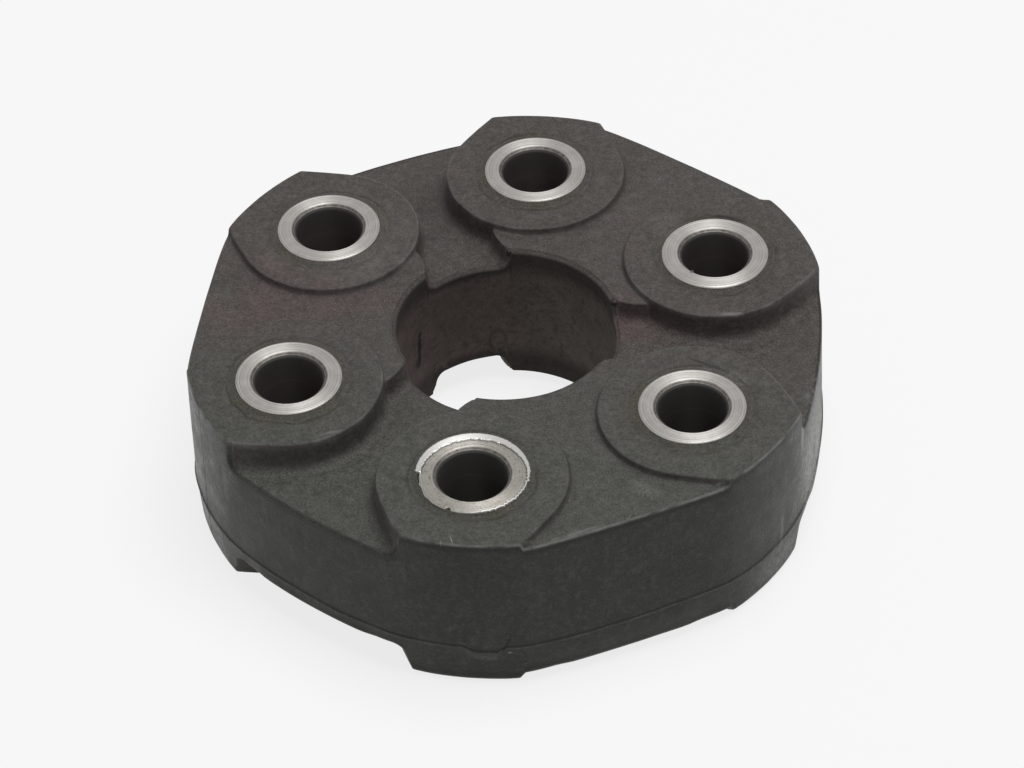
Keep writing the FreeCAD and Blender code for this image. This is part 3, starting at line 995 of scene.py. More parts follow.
DUST_AND_SHEEN_MARKS = {
    # Speckled dust and painted sheen on the right wall, where it catches a grazing reflection.
    "dusty_right": ((66.8, -10.5, -1.0), (6.0, 17.5, 16.5), (0, 0, -8), 1.35),
    "dusty_low_right": ((59.5, -31.5, -14.0), (5.0, 10.0, 7.0), (0, 0, -30), 0.5),
    "smear_pad_3_top": ((46.8, -14.2, 19.0), (9.0, 4.0, 1.5), (0, 0, -5), 0.3),
    "smear_pad_3_low": ((36.5, -47.5, 18.5), (9.0, 2.6, 2.0), (0, 0, -20), 0.3),
    "smear_pad_6": ((-33.0, 16.0, 19.0), (5.0, 9.0, 1.5), (0, 0, 20), 0.16),
    "smear_pad_2": ((30.5, 33.0, 19.0), (5.0, 6.0, 1.5), (0, 0, 40), 0.16),
}
RED_MARKS = {
    "cloud_web_23": ((30.0, 5.0, 15.0), (18.0, 9.5, 6.0), (0, 0, 8), 0.95),
    "cloud_web_56": ((-46.0, 3.0, 17.6), (30.0, 20.0, 5.0), (0, 0, 0), 0.6),
}
RING_MARK = ((-5.6, 22.7, -8.1), (2.0, 2.5, 3.5), (0, 0, 0), 0.5)


def paint(n, tone, marks, cover, ragged, full, *shares):
    """Paints marks with ragged edges: nothing at distance 1, their whole strength at full."""
    for place, size, turn, strength in marks.values():
        away = n.plus(n.near(place, size, turn), ragged)
        tone = n.veil(tone, cover, away, 1.0, full, strength, *shares)
    return tone


def rubber_places(n, s):
    """Where a point of the rubber lies, how it faces, and the noises that several layers use."""
    t = SimpleNamespace()
    t.from_sleeve, reach, t.height = n.sleeve_place()
    t.x, t.y, _ = n.coordinates()
    t.level = n.math("ABSOLUTE", t.height)
    normal = n.add("ShaderNodeNewGeometry").outputs["Normal"]
    t.upward = n.between(n.math("ABSOLUTE", n.split(normal)[2]), 0.35, 0.95)
    t.bare = n.times(n.attribute("outside"), n.minus(1.0, t.upward))
    widest = hole_at(s, -SLEEVE_TOP)
    t.in_hole = n.times(n.between(reach, widest + 0.63, widest + 0.33), n.between(t.upward, 1.0, 0.2))
    web_top = SLEEVE_TOP - s.thick_drop
    t.on_top = n.between(t.level, web_top - 1.1, web_top - 0.1)
    t.clouds = n.noise(16, 3, 0.55)
    t.patches = n.noise(4.5, 4, 0.6)
    t.mottle = n.noise(1.3, 3, 0.65)
    t.grain = n.noise(0.42, 3, 0.75)
    return t


def rubber_base(n, f, s, t):
    """Bare rubber on the walls, a thin bloom on the faces and in the centre hole, and painted shade on
    the steep step walls.
    """
    walls = n.mix(n.between(t.clouds, 0.25, 0.6), f.rubber_dark, f.rubber)
    walls = n.veil(walls, f.low_wall, t.height, s.parting + 0.5, s.parting - 0.5, 1.0)
    runs = n.between(n.stretched(2.2, (1, 1, 0.16)), 0.48, 0.78)
    scuffs = n.between(n.stretched(0.9, (0.12, 1, 1), (20, 35, 50), 2.0), 0.64, 0.72)
    scuffs = n.times(scuffs, n.between(n.noise(7, 2), 0.42, 0.62), 0.3)
    streaks = n.times(n.math("MAXIMUM", runs, scuffs), n.between(t.patches, 0.3, 0.7, 0.15, 0.6))
    walls = n.mix(streaks, walls, f.streak)
    faces = n.veil(f.bloom_far, f.rubber, t.clouds, 0.3, 0.7, 0.3)
    faces = n.veil(faces, f.bloom_near, n.plus(t.y, n.times(t.clouds, 30.0)), 35.0, -35.0, 1.0)
    faces = n.veil(faces, f.rubber, t.patches, 0.42, 0.75, 0.45)
    # Painted shade with a redder tone on the steeper faces of the pads and webs.
    faces = n.veil(faces, f.step_wall_and_shade, t.upward, 1.0, 0.0, 0.45)
    tone = n.mix(t.bare, faces, walls)
    tone = paint(n, tone, RED_MARKS, f.bloom_red, n.between(t.clouds, 0.3, 0.7, -0.3, 0.3), 0.2)
    hole_bloom = n.mix(n.between(t.x, -16.0, 14.0), f.hole_wall, f.hole_right)
    return n.mix(n.times(t.in_hole, n.between(n.noise(9, 2), 0.3, 0.7, 0.7, 1.0)), tone, hole_bloom)


def rubber_grain(n, f, s, t, tone):
    """Pale dust and dark pores in the rubber's grain."""
    pad_top = SLEEVE_TOP - s.pad_drop
    on_pad = n.between(t.level, pad_top - 0.8, pad_top - 0.4, 1.0, 0.85)
    share = n.times(n.between(t.upward, 0.0, 1.0, 0.5, 1.0), on_pad)
    blotches = n.noise(3.2, 4, 0.65)
    tone = n.veil(tone, f.dust, t.grain, 0.45, 0.75, 0.27, share)
    tone = n.veil(tone, f.rubber_dark, t.grain, 0.52, 0.3, 0.9, share)
    tone = n.veil(tone, f.rubber_dark, t.mottle, 0.5, 0.3, 0.48)
    tone = n.veil(tone, f.dust, t.mottle, 0.5, 0.72, 0.12)
    tone = n.veil(tone, f.rubber_dark, blotches, 0.48, 0.3, 0.3)
    tone = n.veil(tone, f.dust, blotches, 0.52, 0.7, 0.08)
    gathered = n.between(n.noise(6, 2), 0.35, 0.65, 0.15, 1.0)
    return n.veil(tone, f.dust, n.noise(0.5, 2, 0.7), 0.66, 0.76, 0.6, gathered)


def rubber_round_sleeves(n, f, s, t, tone):
    """Scratches, grease and dried oil round the sleeves, and painted shade broken along the moulded ring
    line.
    """
    wander = n.plus(t.from_sleeve, n.between(n.noise(5, 2), 0.2, 0.8, -0.5, 0.5))
    turned = n.rings(wander, 0.45, 2.0)
    close = n.times(n.between(t.from_sleeve, 16.5, 12.5), t.on_top)
    scratched = n.times(close, n.between(n.noise(6, 2), 0.4, 0.6))
    tone = n.veil(tone, f.rubber_dark, turned, 0.5, 0.3, 0.45, scratched)
    tone = n.veil(tone, f.dust, turned, 0.6, 0.75, 0.12, scratched)
    frayed = n.plus(wander, n.between(t.patches, 0.3, 0.7, -1.2, 1.2))
    band = n.times(n.between(frayed, 14.2, 12.2), t.on_top)
    crust = n.times(band, n.between(n.noise(0.5, 4, 0.8), 0.52, 0.62))
    heavy = n.between(n.noise(8, 2), 0.4, 0.62, 0.15, 1.0)
    tone = n.mix(n.times(band, heavy, 0.3), tone, f.grease)
    tone = n.mix(n.times(crust, heavy, 0.7), tone, f.residue)
    # Painted shade in the moulded ring line round each sleeve, broken up by noise.
    line = n.times(n.between(n.apart(wander, s.ring_radius), 0.4, 0.1), t.on_top)
    tone = n.veil(tone, f.rubber_dark, n.noise(11, 2), 0.42, 0.6, 0.55, line)
    return tone, crust


def rubber_marks(n, f, t, tone):
    """Painted shade in creases, wear with painted highlight on the edges, and the single marks."""
    # Painted shade in the creases, under the edges, at the feet and above the flash; darker bands at the
    # hole's rims.
    tone = n.mix(n.times(n.attribute("crease"), 0.8), tone, f.groove)
    # Wear and painted highlight along the edges, patchy by noise.
    wear = n.times(n.attribute("worn_edge"), n.between(n.noise(5, 3, 0.6), 0.35, 0.65, 0.15, 1.0))
    tone = n.mix(n.times(wear, 0.42), tone, f.dust)
    ragged = n.between(t.patches, 0.3, 0.7, -0.3, 0.3)
    tone = paint(n, tone, DARK_MARKS, f.groove, ragged, 0.4)
    tone = paint(n, tone, PALE_MARKS, f.dust, ragged, 0.2)
    ragged = n.between(t.patches, 0.3, 0.7, -0.2, 0.2)
    speckled = n.between(n.noise(1.1, 4, 0.8), 0.4, 0.58, 0.15, 1.0)
    # Dust and smears, and painted sheen on the right wall, all speckled.
    tone = paint(n, tone, DUST_AND_SHEEN_MARKS, f.dust, ragged, 0.3, speckled)
    tone = n.veil(tone, f.groove, n.noise(1.0, 2, 0.6), 0.63, 0.7, 0.6, t.bare)
    place, size, turn, strength = RING_MARK
    from_ring = n.apart(n.near(place, size, turn), 0.85)
    broken = n.between(t.mottle, 0.35, 0.6, 0.2, 1.0)
    return n.veil(tone, f.rubber_dark, from_ring, 0.3, 0.05, strength, broken)


def rubber_material(f, s):
    """Moulded rubber with the finishes f, on a body of the sizes s."""
    n = Nodes("moulded_rubber")
    t = rubber_places(n, s)
    tone = rubber_grain(n, f, s, t, rubber_base(n, f, s, t))
    tone, crust = rubber_round_sleeves(n, f, s, t, tone)
    n.feed("Base Color", rubber_marks(n, f, t, tone))
    coarse = n.between(t.patches, 0.3, 0.75, 0.08, -0.08)
    sheen = n.plus(coarse, n.between(t.mottle, 0.35, 0.65, -0.04, 0.05))
    rough = n.plus(n.between(t.bare, 0.1, 0.8, 0.56, 0.33), sheen)
    n.feed("Roughness", n.plus(rough, n.times(t.in_hole, 0.2)))
    n.shader.inputs["Specular IOR Level"].default_value = 0.16
    soft = n.bump(n.noise(1.6, 3, 0.6), 0.07, n.bump(t.grain, 0.09))
    n.feed("Normal", n.bump(crust, 0.06, soft))
    return n.material


def steel_face(n, f, from_sleeve, stain):
    """Turning marks, stains and specks on a sleeve's end."""
    tone = n.veil(f.steel, f.steel_bright, n.rings(from_sleeve, 0.3), 0.32, 0.68, 0.6)
    arcs = n.between(n.noise(3.5, 2), 0.4, 0.6, 0.2, 1.0)
    tone = n.veil(tone, f.steel_dark, n.rings(from_sleeve, 0.24), 0.44, 0.3, 0.2, arcs)
    tone = n.veil(tone, f.steel_bright, n.noise(2.4, 2), 0.4, 0.7, 0.25)
    tone = n.veil(tone, f.residue, stain, 0.56, 0.8, 0.35)
    return n.veil(tone, f.steel_dark, n.noise(0.5, 2, 0.6), 0.68, 0.74, 0.6)


def bore_oxide(n, f, height):
    """Brown oxide in a bore, darker to its lower end and to the right, with a faint pale ring."""
    x, y, _ = n.coordinates()
    tone = n.veil(f.bore, f.steel_dark, n.noise(2.6, 4, 0.65), 0.4, 0.7, 0.55)
    tone = n.veil(tone, f.groove, height, 11.5, 18.0, 0.7)
    tone = n.veil(tone, f.rubber_dark, n.minus(n.times(x, 0.5), y), 10.0, 40.0, 0.55)
    return n.veil(tone, f.residue, n.apart(height, 12.6), 0.4, 0.0, 0.12)


def steel_material(f, mouth):
    """Turned steel; mouth is the radius of the bores' chamfered mouths."""
    n = Nodes("turned_steel")
    from_sleeve, _, height = n.sleeve_place()
    stain = n.noise(1.7, 4, 0.7)
    tone = steel_face(n, f, from_sleeve, stain)
    below_end = n.between(n.math("ABSOLUTE", height), SLEEVE_TOP, SLEEVE_TOP - 0.1)
    # Painted dark reflection on the bore chamfers, which mirror dark surroundings: dark steel over the
    # turned tone, patchy by noise.
    chamfer = n.times(n.between(from_sleeve, mouth, mouth - 0.3), below_end)
    chamfer_patchiness = n.between(n.noise(0.9, 3), 0.3, 0.7, 1.0, 0.65)
    tone = n.mix(n.times(chamfer, chamfer_patchiness), tone, f.steel_dark)
    brink = 0.45 * mouth + 0.55 * BORE_RADIUS
    # Painted highlight: a thin line of plain steel tone along the chamfer's lower edge.
    tone = n.veil(tone, f.steel, n.apart(from_sleeve, brink), 0.14, 0.04, 0.45)
    in_bore = n.between(from_sleeve, brink - 0.04, brink - 0.2)
    tone = n.mix(in_bore, tone, bore_oxide(n, f, height))
    stepped = n.attribute("stepped")
    step_dirt = n.between(stain, 0.35, 0.65, 0.25, 0.6)
    tone = n.mix(n.times(stepped, step_dirt), tone, f.stepped_steel)
    tone = n.veil(tone, f.steel_dark, n.noise(0.45, 2, 0.7), 0.58, 0.66, 0.5, stepped)
    tone = n.mix(n.times(n.attribute("fresh"), 0.85), tone, f.fresh_steel)
    grime = n.attribute("grime")
    n.feed("Base Color", n.mix(grime, tone, f.rubber_dark))
    n.feed("Metallic", n.minus(1.0, n.math("MAXIMUM", in_bore, grime)))
    rough = n.between(n.rings(from_sleeve, 0.3), 0.3, 0.7, 0.36, 0.5)
    n.feed("Roughness", n.plus(rough, n.times(chamfer, 0.15)))
    n.shader.inputs["Anisotropic"].default_value = 0.75
    n.shader.inputs["Anisotropic Rotation"].default_value = 0.25
    n.feed("Tangent", n.add("ShaderNodeTangent", direction_type="RADIAL", axis="Z").outputs[0])
    turning = n.between(n.rings(from_sleeve, 0.2), 0.3, 0.7)
    n.feed("Normal", n.bump(turning, 0.006, n.bump(stain, 0.015)))
    return n.material


def cord_material(f):
    n = Nodes("wound_cord")
    wave = n.add("ShaderNodeTexWave", bands_direction="Z")
    n.link(n.place, wave.inputs["Vector"])
    wave.inputs["Scale"].default_value = 320.0
    wave.inputs["Distortion"].default_value = 1.2
    strands = wave.outputs["Fac"]
    fibres = n.noise(0.3, 3, 0.7)
    tone = n.veil(f.cord, f.residue, fibres, 0.3, 0.7, 0.5)
    n.feed("Base Color", n.mix(n.between(strands, 0.0, 0.5, 0.5, 0.0), tone, f.rubber_dark))
    n.feed("Roughness", n.between(fibres, 0.3, 0.7, 0.7, 0.9))
    n.feed("Normal", n.bump(strands, 0.3, n.bump(fibres, 0.05)))
    return n.material


def collar_material(f):
    n = Nodes("pressed_collar_steel")
    scratch = n.noise(0.8, 4, 0.7, distortion=1.5)
    n.feed("Base Color", n.veil(f.collar, f.steel_dark, n.noise(5, 3, 0.6), 0.45, 0.7, 0.6))
    n.shader.inputs["Metallic"].default_value = 1.0
    n.feed("Roughness", n.between(scratch, 0.3, 0.7, 0.3, 0.5))
    n.feed("Normal", n.bump(scratch, 0.02))
    return n.material


def place_piece(piece, slot, material, *nodes):
    """Gives a piece its material, and its place in the frame."""
    piece.data.materials.append(material)
    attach(piece, "root")
    if nodes:
        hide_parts(*nodes)


def dress_node(name, material):
    """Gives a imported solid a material."""
    node = frame["nodes"][name]
    if node.material_slots:
        for place in node.material_slots:
            place.material = material
    else:
        node.data.materials.append(material)


class FLEXDISC_OT_rubber_body(bpy.types.Operator):
    """Build the moulded rubber body over its solid"""

    bl_idname = "flex_disc.rubber_body"
    bl_label = "Rubber Body"

    def execute(self, context):
        s = in_millimetres(context.scene.flex_disc_body)
        parts = MeshParts()
        for thick in (True, False):
            top, outer_count, hole_count = half_sector(s, thick, 1)
            bottom = half_sector(lower_side(s), thick, -1)[0]
            wall = outer_wall(s, top[-1, :outer_count], bottom[-1, :outer_count], thick)
            hole = hole_wall(s, top[-1, -hole_count:], bottom[-1, -hole_count:])
            seat = np.stack([top[0], bottom[0]])
            grids = ((top, False), (bottom, True), (wall, False), (hole, False), (seat, True))
            for sleeve in range(1, SLEEVES + 1):
                mirrored = thick == (sleeve % 2 == 1)
                for grid, flipped in grids:
                    parts.add_grid(grid, sleeve_angle(sleeve), mirrored, flipped)
        piece = parts.build("rubber_moulding")
        mesh = piece.data
        jog_parting_line(mesh, s)
        store_marks(mesh, edge_marks(s, vertex_values(mesh, "co") / MM))
        swell(mesh, s)
        waves(mesh, s.waviness, s.wave_length)
        material = rubber_material(context.scene.flex_disc_finishes, s)
        place_piece(piece, "rubber", material, "rubber_body")
        return {"FINISHED"}


# Bevel of a sleeve's sharp edges, and how far the rows beside a chamfer keep clear of it.
BROKEN_EDGE = 0.04
CLEAR = 0.05
BELOW_CHAMFER = 0.6
IN_CHAMFER = 0.5
WALL_ROW = 1.6
# Angle between one turning mark's place on a sine and the next, which varies their depths.
DEPTH_TURN = 12.9898


def sleeve_profile(s):
    """Radius and height of a sleeve's upper half section, from the bore to the outer wall."""
    mouth = BORE_RADIUS + s.chamfer
    outer = SLEEVE_RADIUS - s.edge
    rows = [
        (BORE_RADIUS, SLEEVE_TOP),
        (BORE_RADIUS, s.chamfer + BELOW_CHAMFER),
        (BORE_RADIUS, s.chamfer + CLEAR),
        (BORE_RADIUS + BROKEN_EDGE, s.chamfer - BROKEN_EDGE),
        (mouth - IN_CHAMFER, IN_CHAMFER),
        (mouth - BROKEN_EDGE, BROKEN_EDGE),
    ]
    face = outer - mouth - 2 * CLEAR
    steps = max(int(face / s.groove_pitch * 2), 2)
    for k in range(steps + 1):
        depth = s.groove_depth * (0.5 + 0.5 * math.sin(k * DEPTH_TURN) ** 2) if k % 2 else 0.0
        rows.append((mouth + CLEAR + face * k / steps, depth))
    rows += [
        (outer + BROKEN_EDGE, BROKEN_EDGE),
        (SLEEVE_RADIUS - BROKEN_EDGE, s.edge - BROKEN_EDGE),
        (SLEEVE_RADIUS, s.edge + CLEAR),
        (SLEEVE_RADIUS, WALL_ROW),
        (SLEEVE_RADIUS, SLEEVE_TOP),
    ]
    return np.array([(radius, SLEEVE_TOP - depth) for radius, depth in rows])


def ring_grid(profile, segments):
    """Turns a profile of radius and height about the Z axis."""
    turns = np.linspace(0, 2 * math.pi, segments, endpoint=False)
    radius = profile[:, 0][:, None]
    height = np.broadcast_to(profile[:, 1][:, None], (len(profile), segments))
    return np.stack([radius * np.cos(turns), radius * np.sin(turns), height], 2)


def off_centre(turn, radius, offset, direction):
    """Distance to a circle that is off centre, in the direction turn."""
    away = turn - direction
    return offset * np.cos(away) + np.sqrt(radius ** 2 - (offset * np.sin(away)) ** 2)


def raggedness(turn, teeth, seed):
    """Noise round a circle, with about that many teeth on a radian."""
    places = [Vector((math.cos(a) * teeth, math.sin(a) * teeth, seed)) for a in turn]
    return np.array([noise.noise(place) for place in places])


def within(turn, first, last, soft):
    """1 between two directions in degrees, 0 outside them."""
    middle = math.radians((first + last) / 2)
    half = math.radians((last - first) / 2)
    away = np.abs((turn - middle + math.pi) % (2 * math.pi) - math.pi)
    return unit((half - away) / math.radians(soft) + 0.5)


# Stretches of the worn lip: first and last direction and softness in degrees.
BURR = (-80, 15, 14)
TORN_OFF = (184, 249, 3)
NICK = (250, 255, 2)
NICK_DEPTH = 0.7
# Raggedness: height in millimetres, teeth, seed. The burr adds to the lip's own.
LIP_TEETH = (0.06, 22, 3.1)
BURR_HEIGHT = 0.34
STEP_TEETH = ((0.22, 12, 7.7), (0.12, 50, 1.3))
# Widths of the standing rim: where it is torn off, at the least, more at the burr, and the
# width at which it has its full height.
TORN_WIDTH = 0.1
LEAST_WIDTH = 0.12
BURR_WIDTH = 0.22
FULL_WIDTH = 0.35
# The rim's foot lies this far outside the step, behind a groove of this depth.
RIM_CLEARANCE = 0.05
GRIME_DEPTH = 0.12
# The step's depth grows from this height over the next millimetres; its rows begin this far
# inside the mouth.
STEP_FROM = 17
STEP_OVER = 1.5
INSIDE_MOUTH = 0.3


def worn_end(grid, s):
    """Rolled lip and off-centre facing step of the worn sleeve, with its material's marks."""
    x, y, z = np.moveaxis(grid, 2, 0)
    radius = np.hypot(x, y)
    turn = np.arctan2(y[0], x[0])
    mouth = BORE_RADIUS + s.chamfer
    outer = SLEEVE_RADIUS - s.edge
    split = (mouth + 2 * outer) / 3
    burr = within(turn, *BURR)
    height, teeth, seed = LIP_TEETH
    lip = off_centre(turn, SLEEVE_RADIUS + s.lip_overhang, s.lip_offset, s.lip_direction)
    lip += raggedness(turn, teeth, seed) * (height + BURR_HEIGHT * burr)
    lip -= NICK_DEPTH * within(turn, *NICK)
    step = off_centre(turn, SLEEVE_RADIUS - s.step_margin, s.step_offset, s.step_direction)
    for height, teeth, seed in STEP_TEETH:
        step += raggedness(turn, teeth, seed) * height
    lip += (np.minimum(lip, step + TORN_WIDTH) - lip) * within(turn, *TORN_OFF)
    step = np.minimum(step, lip - LEAST_WIDTH - BURR_WIDTH * burr)
    standing = unit((lip - step) / FULL_WIDTH)

    inner_share = (radius - mouth) / (split - mouth)
    outer_share = unit((radius - split) / (SLEEVE_RADIUS - split))
    on_inner = (radius >= mouth - INSIDE_MOUTH) & (radius <= split)
    on_outer = (radius > split) & (z > SLEEVE_TOP - s.lip_height)
    last_inner = on_inner & (np.roll(radius, -1, 0) > split)
    foot = step + RIM_CLEARANCE
    faced = np.where(inner_share > 0, mouth + inner_share * (step - mouth), radius)
    grown = np.where(on_inner, faced, radius)
    grown = np.where(on_outer, foot + outer_share * (lip - foot), grown)
    depth = s.step_depth * unit((z - STEP_FROM) / STEP_OVER) * (on_inner | (radius < mouth))
    depth = np.where(on_outer, s.step_depth * (1 - standing), depth)
    depth = depth + GRIME_DEPTH * standing * last_inner
    marks = {
        "grime": last_inner * standing,
        "stepped": on_inner & (radius >= mouth) & ~last_inner,
        "fresh": on_outer * standing,
    }
    turns = np.broadcast_to(turn, radius.shape)
    return np.stack([grown * np.cos(turns), grown * np.sin(turns), z - depth], 2), marks


def peened_end(grid, s):
    """Spreads the rim of a sleeve's upper end a little."""
    x, y, z = np.moveaxis(grid, 2, 0)
    radius = np.hypot(x, y)
    mouth = BORE_RADIUS + s.chamfer
    share = unit((radius - mouth) / (SLEEVE_RADIUS - mouth)) * (z > SLEEVE_TOP - s.lip_height)
    out = 1 + share * s.peening / radius
    return np.stack([x * out, y * out, z], 2)


# A mark is handed to a vertex when its grid point is nearer than this, in metres.
SAME_POINT = 0.00001


def hand_over(mesh, grid, marks):
    """Stores the marks of the grid's points on the mesh's vertices."""
    points = grid.reshape(-1, 3) * MM
    tree = KDTree(len(points))
    for index, point in enumerate(points):
        tree.insert(point, index)
    tree.balance()
    found = [tree.find(vertex.co) for vertex in mesh.vertices]
    index = np.array([nearest for _, nearest, _ in found])
    same = np.array([away < SAME_POINT for _, _, away in found])
    store_marks(mesh, {name: mark.ravel()[index] * same for name, mark in marks.items()})


class FLEXDISC_OT_sleeves(bpy.types.Operator):
    """Build the six turned sleeves over their solids"""

    bl_idname = "flex_disc.sleeves"
    bl_label = "Sleeves"

    def execute(self, context):
        s = in_millimetres(context.scene.flex_disc_sleeves)
        material = steel_material(context.scene.flex_disc_finishes, BORE_RADIUS + s.chamfer)
        profile = sleeve_profile(s)
        for sleeve in range(1, SLEEVES + 1):
            worn = sleeve == WORN_SLEEVE
            upper = ring_grid(profile, s.worn_segments if worn else s.segments)
            lower = upper * np.array([1, 1, -1])
            if worn:
                upper, marks = worn_end(upper, s)
            if sleeve == PEENED_SLEEVE:
                upper = peened_end(upper, s)
            parts = MeshParts()
            parts.add_grid(upper, 0, False, False, closed=True)
            parts.add_grid(lower, 0, False, True, closed=True)
            piece = parts.build("sleeve_%d" % sleeve, SLEEVE_WELD)
            if worn:
                hand_over(piece.data, upper, marks)
            turn = sleeve_angle(sleeve)
            axis = Vector((math.cos(turn), math.sin(turn), 0)) * PITCH_RADIUS * MM
            piece.data.transform(Matrix.Translation(axis))
            place_piece(piece, "turned_steel", material, "steel_sleeve_%d" % sleeve)
        return {"FINISHED"}


# Small lumps: place and half size in millimetres, turn in degrees about the upright axis.
LUMPS = {
    "bead_on_sleeve_2": ((37.2, 17.3, 19.5), (0.7, 0.6, 0.55), 30),
    "flash_scrap_6": ((-20.6, 11.9, 16.9), (0.9, 0.35, 0.5), 60),
    "flash_scrap_1": ((-2.4, 23.9, 17.0), (1.1, 0.3, 0.45), 80),
    "flash_scrap_2": ((22.2, 9.6, 17.0), (0.9, 0.35, 0.45), 20),
}
LUMP_AROUND = 20
LUMP_ROWS = 12
LUMP_POLE = 0.01
LUMP_FINENESS = 1.7
LUMP_RAGGEDNESS = 0.6
LUMP_SEED_STEP = 3.0


def lump(name, place, size, turn, seed):
    """A small ragged lump."""
    rise = math.pi / 2 - LUMP_POLE
    lat = np.linspace(-rise, rise, LUMP_ROWS)
    grid = ring_grid(np.stack([np.cos(lat), np.sin(lat)], 1)[::-1], LUMP_AROUND)
    start = Vector((seed, 0, 0))
    shape = [noise.noise(Vector(point) * LUMP_FINENESS + start) for point in grid.reshape(-1, 3)]
    shape = np.array(shape).reshape(LUMP_ROWS, LUMP_AROUND, 1)
    grid = grid * (1 + LUMP_RAGGEDNESS * shape) * np.array(size)
    parts = MeshParts()
    parts.add_grid(grid, math.radians(turn), False, True, closed=True)
    piece = parts.build(name)
    piece.data.transform(Matrix.Translation(Vector(place) * MM))
    return piece


class FLEXDISC_OT_small_lumps(bpy.types.Operator):
    """Add the bead on one sleeve and the scraps of flash at the hole"""

    bl_idname = "flex_disc.small_lumps"
    bl_label = "Bead and Flash Scraps"

    def execute(self, context):
        rubber = bpy.data.materials["moulded_rubber"]
        for index, (name, (place, size, turn)) in enumerate(LUMPS.items()):
            place_piece(lump(name, place, size, turn, LUMP_SEED_STEP * index), "rubber", rubber)
        return {"FINISHED"}


class FLEXDISC_OT_inner_parts(bpy.types.Operator):
    """Give the hidden cord loops and collars their finishes"""

    bl_idname = "flex_disc.inner_parts"
    bl_label = "Cord Loops and Collars"

    def execute(self, context):
        finishes = context.scene.flex_disc_finishes
        cord = cord_material(finishes)
        collar = collar_material(finishes)
        for name in frame["nodes"]:
            if name.startswith("cord_loop"):
                dress_node(name, cord)
            elif "collar" in name:
                dress_node(name, collar)
        return {"FINISHED"}


def seen_directly(tree):
    """1 for camera, glossy and transmission rays, else 0."""
    path = tree.nodes.new("ShaderNodeLightPath")
    value = path.outputs["Is Camera Ray"]
    for other in ("Is Glossy Ray", "Is Transmission Ray"):
        either = tree.nodes.new("ShaderNodeMath")
        either.operation = "MAXIMUM"
        tree.links.new(value, either.inputs[0])
        tree.links.new(path.outputs[other], either.inputs[1])
        value = either.outputs[0]
    return value


def look_along(direction):
    """The turn of a lamp or camera that looks along a direction."""
    return Vector(direction).to_track_quat("-Z", "Y").to_matrix()


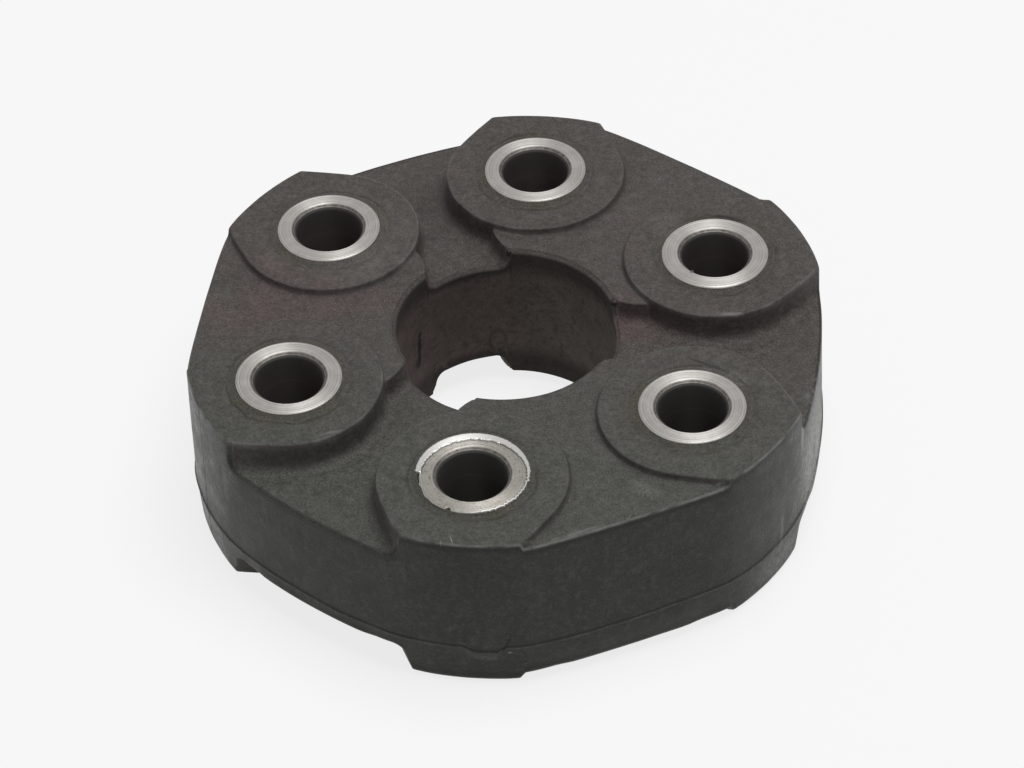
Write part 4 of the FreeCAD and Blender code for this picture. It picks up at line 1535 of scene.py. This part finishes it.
class FLEXDISC_OT_stage(bpy.types.Operator):
    """Set up the floor, the lamp, the world and the camera"""

    bl_idname = "flex_disc.stage"
    bl_label = "Stage"

    def execute(self, context):
        stage = context.scene.flex_disc_stage
        self.add_floor(stage)
        self.add_world(stage)
        self.add_key_lamp(stage)
        self.add_camera(stage)
        return {"FINISHED"}

    @staticmethod
    def add_floor(stage):
        size = stage.floor_size
        z = CAD_BOX[0][2]
        mesh = bpy.data.meshes.new("floor")
        corners = [(-size, -size, z), (size, -size, z), (size, size, z), (-size, size, z)]
        mesh.from_pydata(corners, [], [(0, 1, 2, 3)])
        floor = bpy.data.objects.new("floor", mesh)
        bpy.context.scene.collection.objects.link(floor)
        material = bpy.data.materials.new("floor")
        material.use_nodes = True
        tree = material.node_tree
        tree.nodes.clear()
        output = tree.nodes.new("ShaderNodeOutputMaterial")
        diffuse = tree.nodes.new("ShaderNodeBsdfDiffuse")
        diffuse.inputs["Color"].default_value = (*stage.floor_tone, 1)
        glow = tree.nodes.new("ShaderNodeEmission")
        glow.inputs["Strength"].default_value = 1.0
        share = tree.nodes.new("ShaderNodeMath")
        share.operation = "MULTIPLY"
        share.inputs[1].default_value = stage.floor_glow
        tree.links.new(seen_directly(tree), share.inputs[0])
        mix = tree.nodes.new("ShaderNodeMixShader")
        for index, source in enumerate((share, diffuse, glow)):
            tree.links.new(source.outputs[0], mix.inputs[index])
        tree.links.new(mix.outputs[0], output.inputs[0])
        mesh.materials.append(material)

    @staticmethod
    def add_world(stage):
        world = bpy.data.worlds.new("studio")
        bpy.context.scene.world = world
        world.use_nodes = True
        tree = world.node_tree
        background = tree.nodes["Background"]
        background.inputs["Color"].default_value = (1, 1, 1, 1)
        level = tree.nodes.new("ShaderNodeMapRange")
        tree.links.new(seen_directly(tree), level.inputs[0])
        level.inputs[3].default_value = stage.sky
        level.inputs[4].default_value = 1.0
        tree.links.new(level.outputs[0], background.inputs["Strength"])

    @staticmethod
    def add_key_lamp(stage):
        lamp = bpy.data.lights.new("key_lamp", "AREA")
        lamp.shape = "DISK"
        lamp.size = stage.key_size
        lamp.energy = stage.key
        thing = bpy.data.objects.new("key_lamp", lamp)
        thing.location = stage.key_place
        thing.rotation_euler = look_along(-Vector(stage.key_place)).to_euler()
        bpy.context.scene.collection.objects.link(thing)

    @staticmethod
    def add_camera(stage):
        camera = bpy.data.cameras.new("camera")
        camera.lens = stage.lens
        camera.sensor_width = 36.0
        camera.clip_start = 0.01
        thing = bpy.data.objects.new("camera", camera)
        stand = Vector(stage.stand)
        turn = look_along(Vector(stage.aim) - stand) @ Matrix.Rotation(stage.roll, 3, "Z")
        thing.matrix_world = Matrix.Translation(stand) @ turn.to_4x4()
        scene = bpy.context.scene
        scene.collection.objects.link(thing)
        scene.camera = thing
        scene.view_settings.view_transform = "Standard"


class FLEXDISC_PT_panel(bpy.types.Panel):
    """Sidebar panel that lists the disc's steps and settings"""

    bl_label = "Flex Disc Coupling"
    bl_idname = "FLEXDISC_PT_panel"
    bl_space_type = "VIEW_3D"
    bl_region_type = "UI"
    bl_category = "Flex Disc"

    def draw(self, context):
        layout = self.layout
        for operator in OPERATORS:
            layout.operator(operator.bl_idname)
        for name in GROUPS:
            group = getattr(context.scene, name)
            box = layout.box()
            for prop in group.bl_rna.properties:
                if prop.identifier not in {"rna_type", "name"}:
                    box.prop(group, prop.identifier)


OPERATORS = (
    FLEXDISC_OT_rubber_body,
    FLEXDISC_OT_sleeves,
    FLEXDISC_OT_small_lumps,
    FLEXDISC_OT_inner_parts,
    FLEXDISC_OT_stage,
)
GROUPS = {
    "flex_disc_body": FlexDiscBodySizes,
    "flex_disc_sleeves": FlexDiscSleeveSizes,
    "flex_disc_finishes": FlexDiscFinishes,
    "flex_disc_stage": FlexDiscStage,
}


def register():
    for name, group in GROUPS.items():
        bpy.utils.register_class(group)
        setattr(bpy.types.Scene, name, PointerProperty(type=group))
    for operator in OPERATORS:
        bpy.utils.register_class(operator)
    bpy.utils.register_class(FLEXDISC_PT_panel)


def unregister():
    bpy.utils.unregister_class(FLEXDISC_PT_panel)
    for operator in reversed(OPERATORS):
        bpy.utils.unregister_class(operator)
    for name, group in GROUPS.items():
        delattr(bpy.types.Scene, name)
        bpy.utils.unregister_class(group)


def main():
    register()
    bpy.ops.flex_disc.rubber_body()
    bpy.ops.flex_disc.sleeves()
    bpy.ops.flex_disc.small_lumps()
    bpy.ops.flex_disc.inner_parts()
    bpy.ops.flex_disc.stage()


if __name__ == "__main__":
    main()
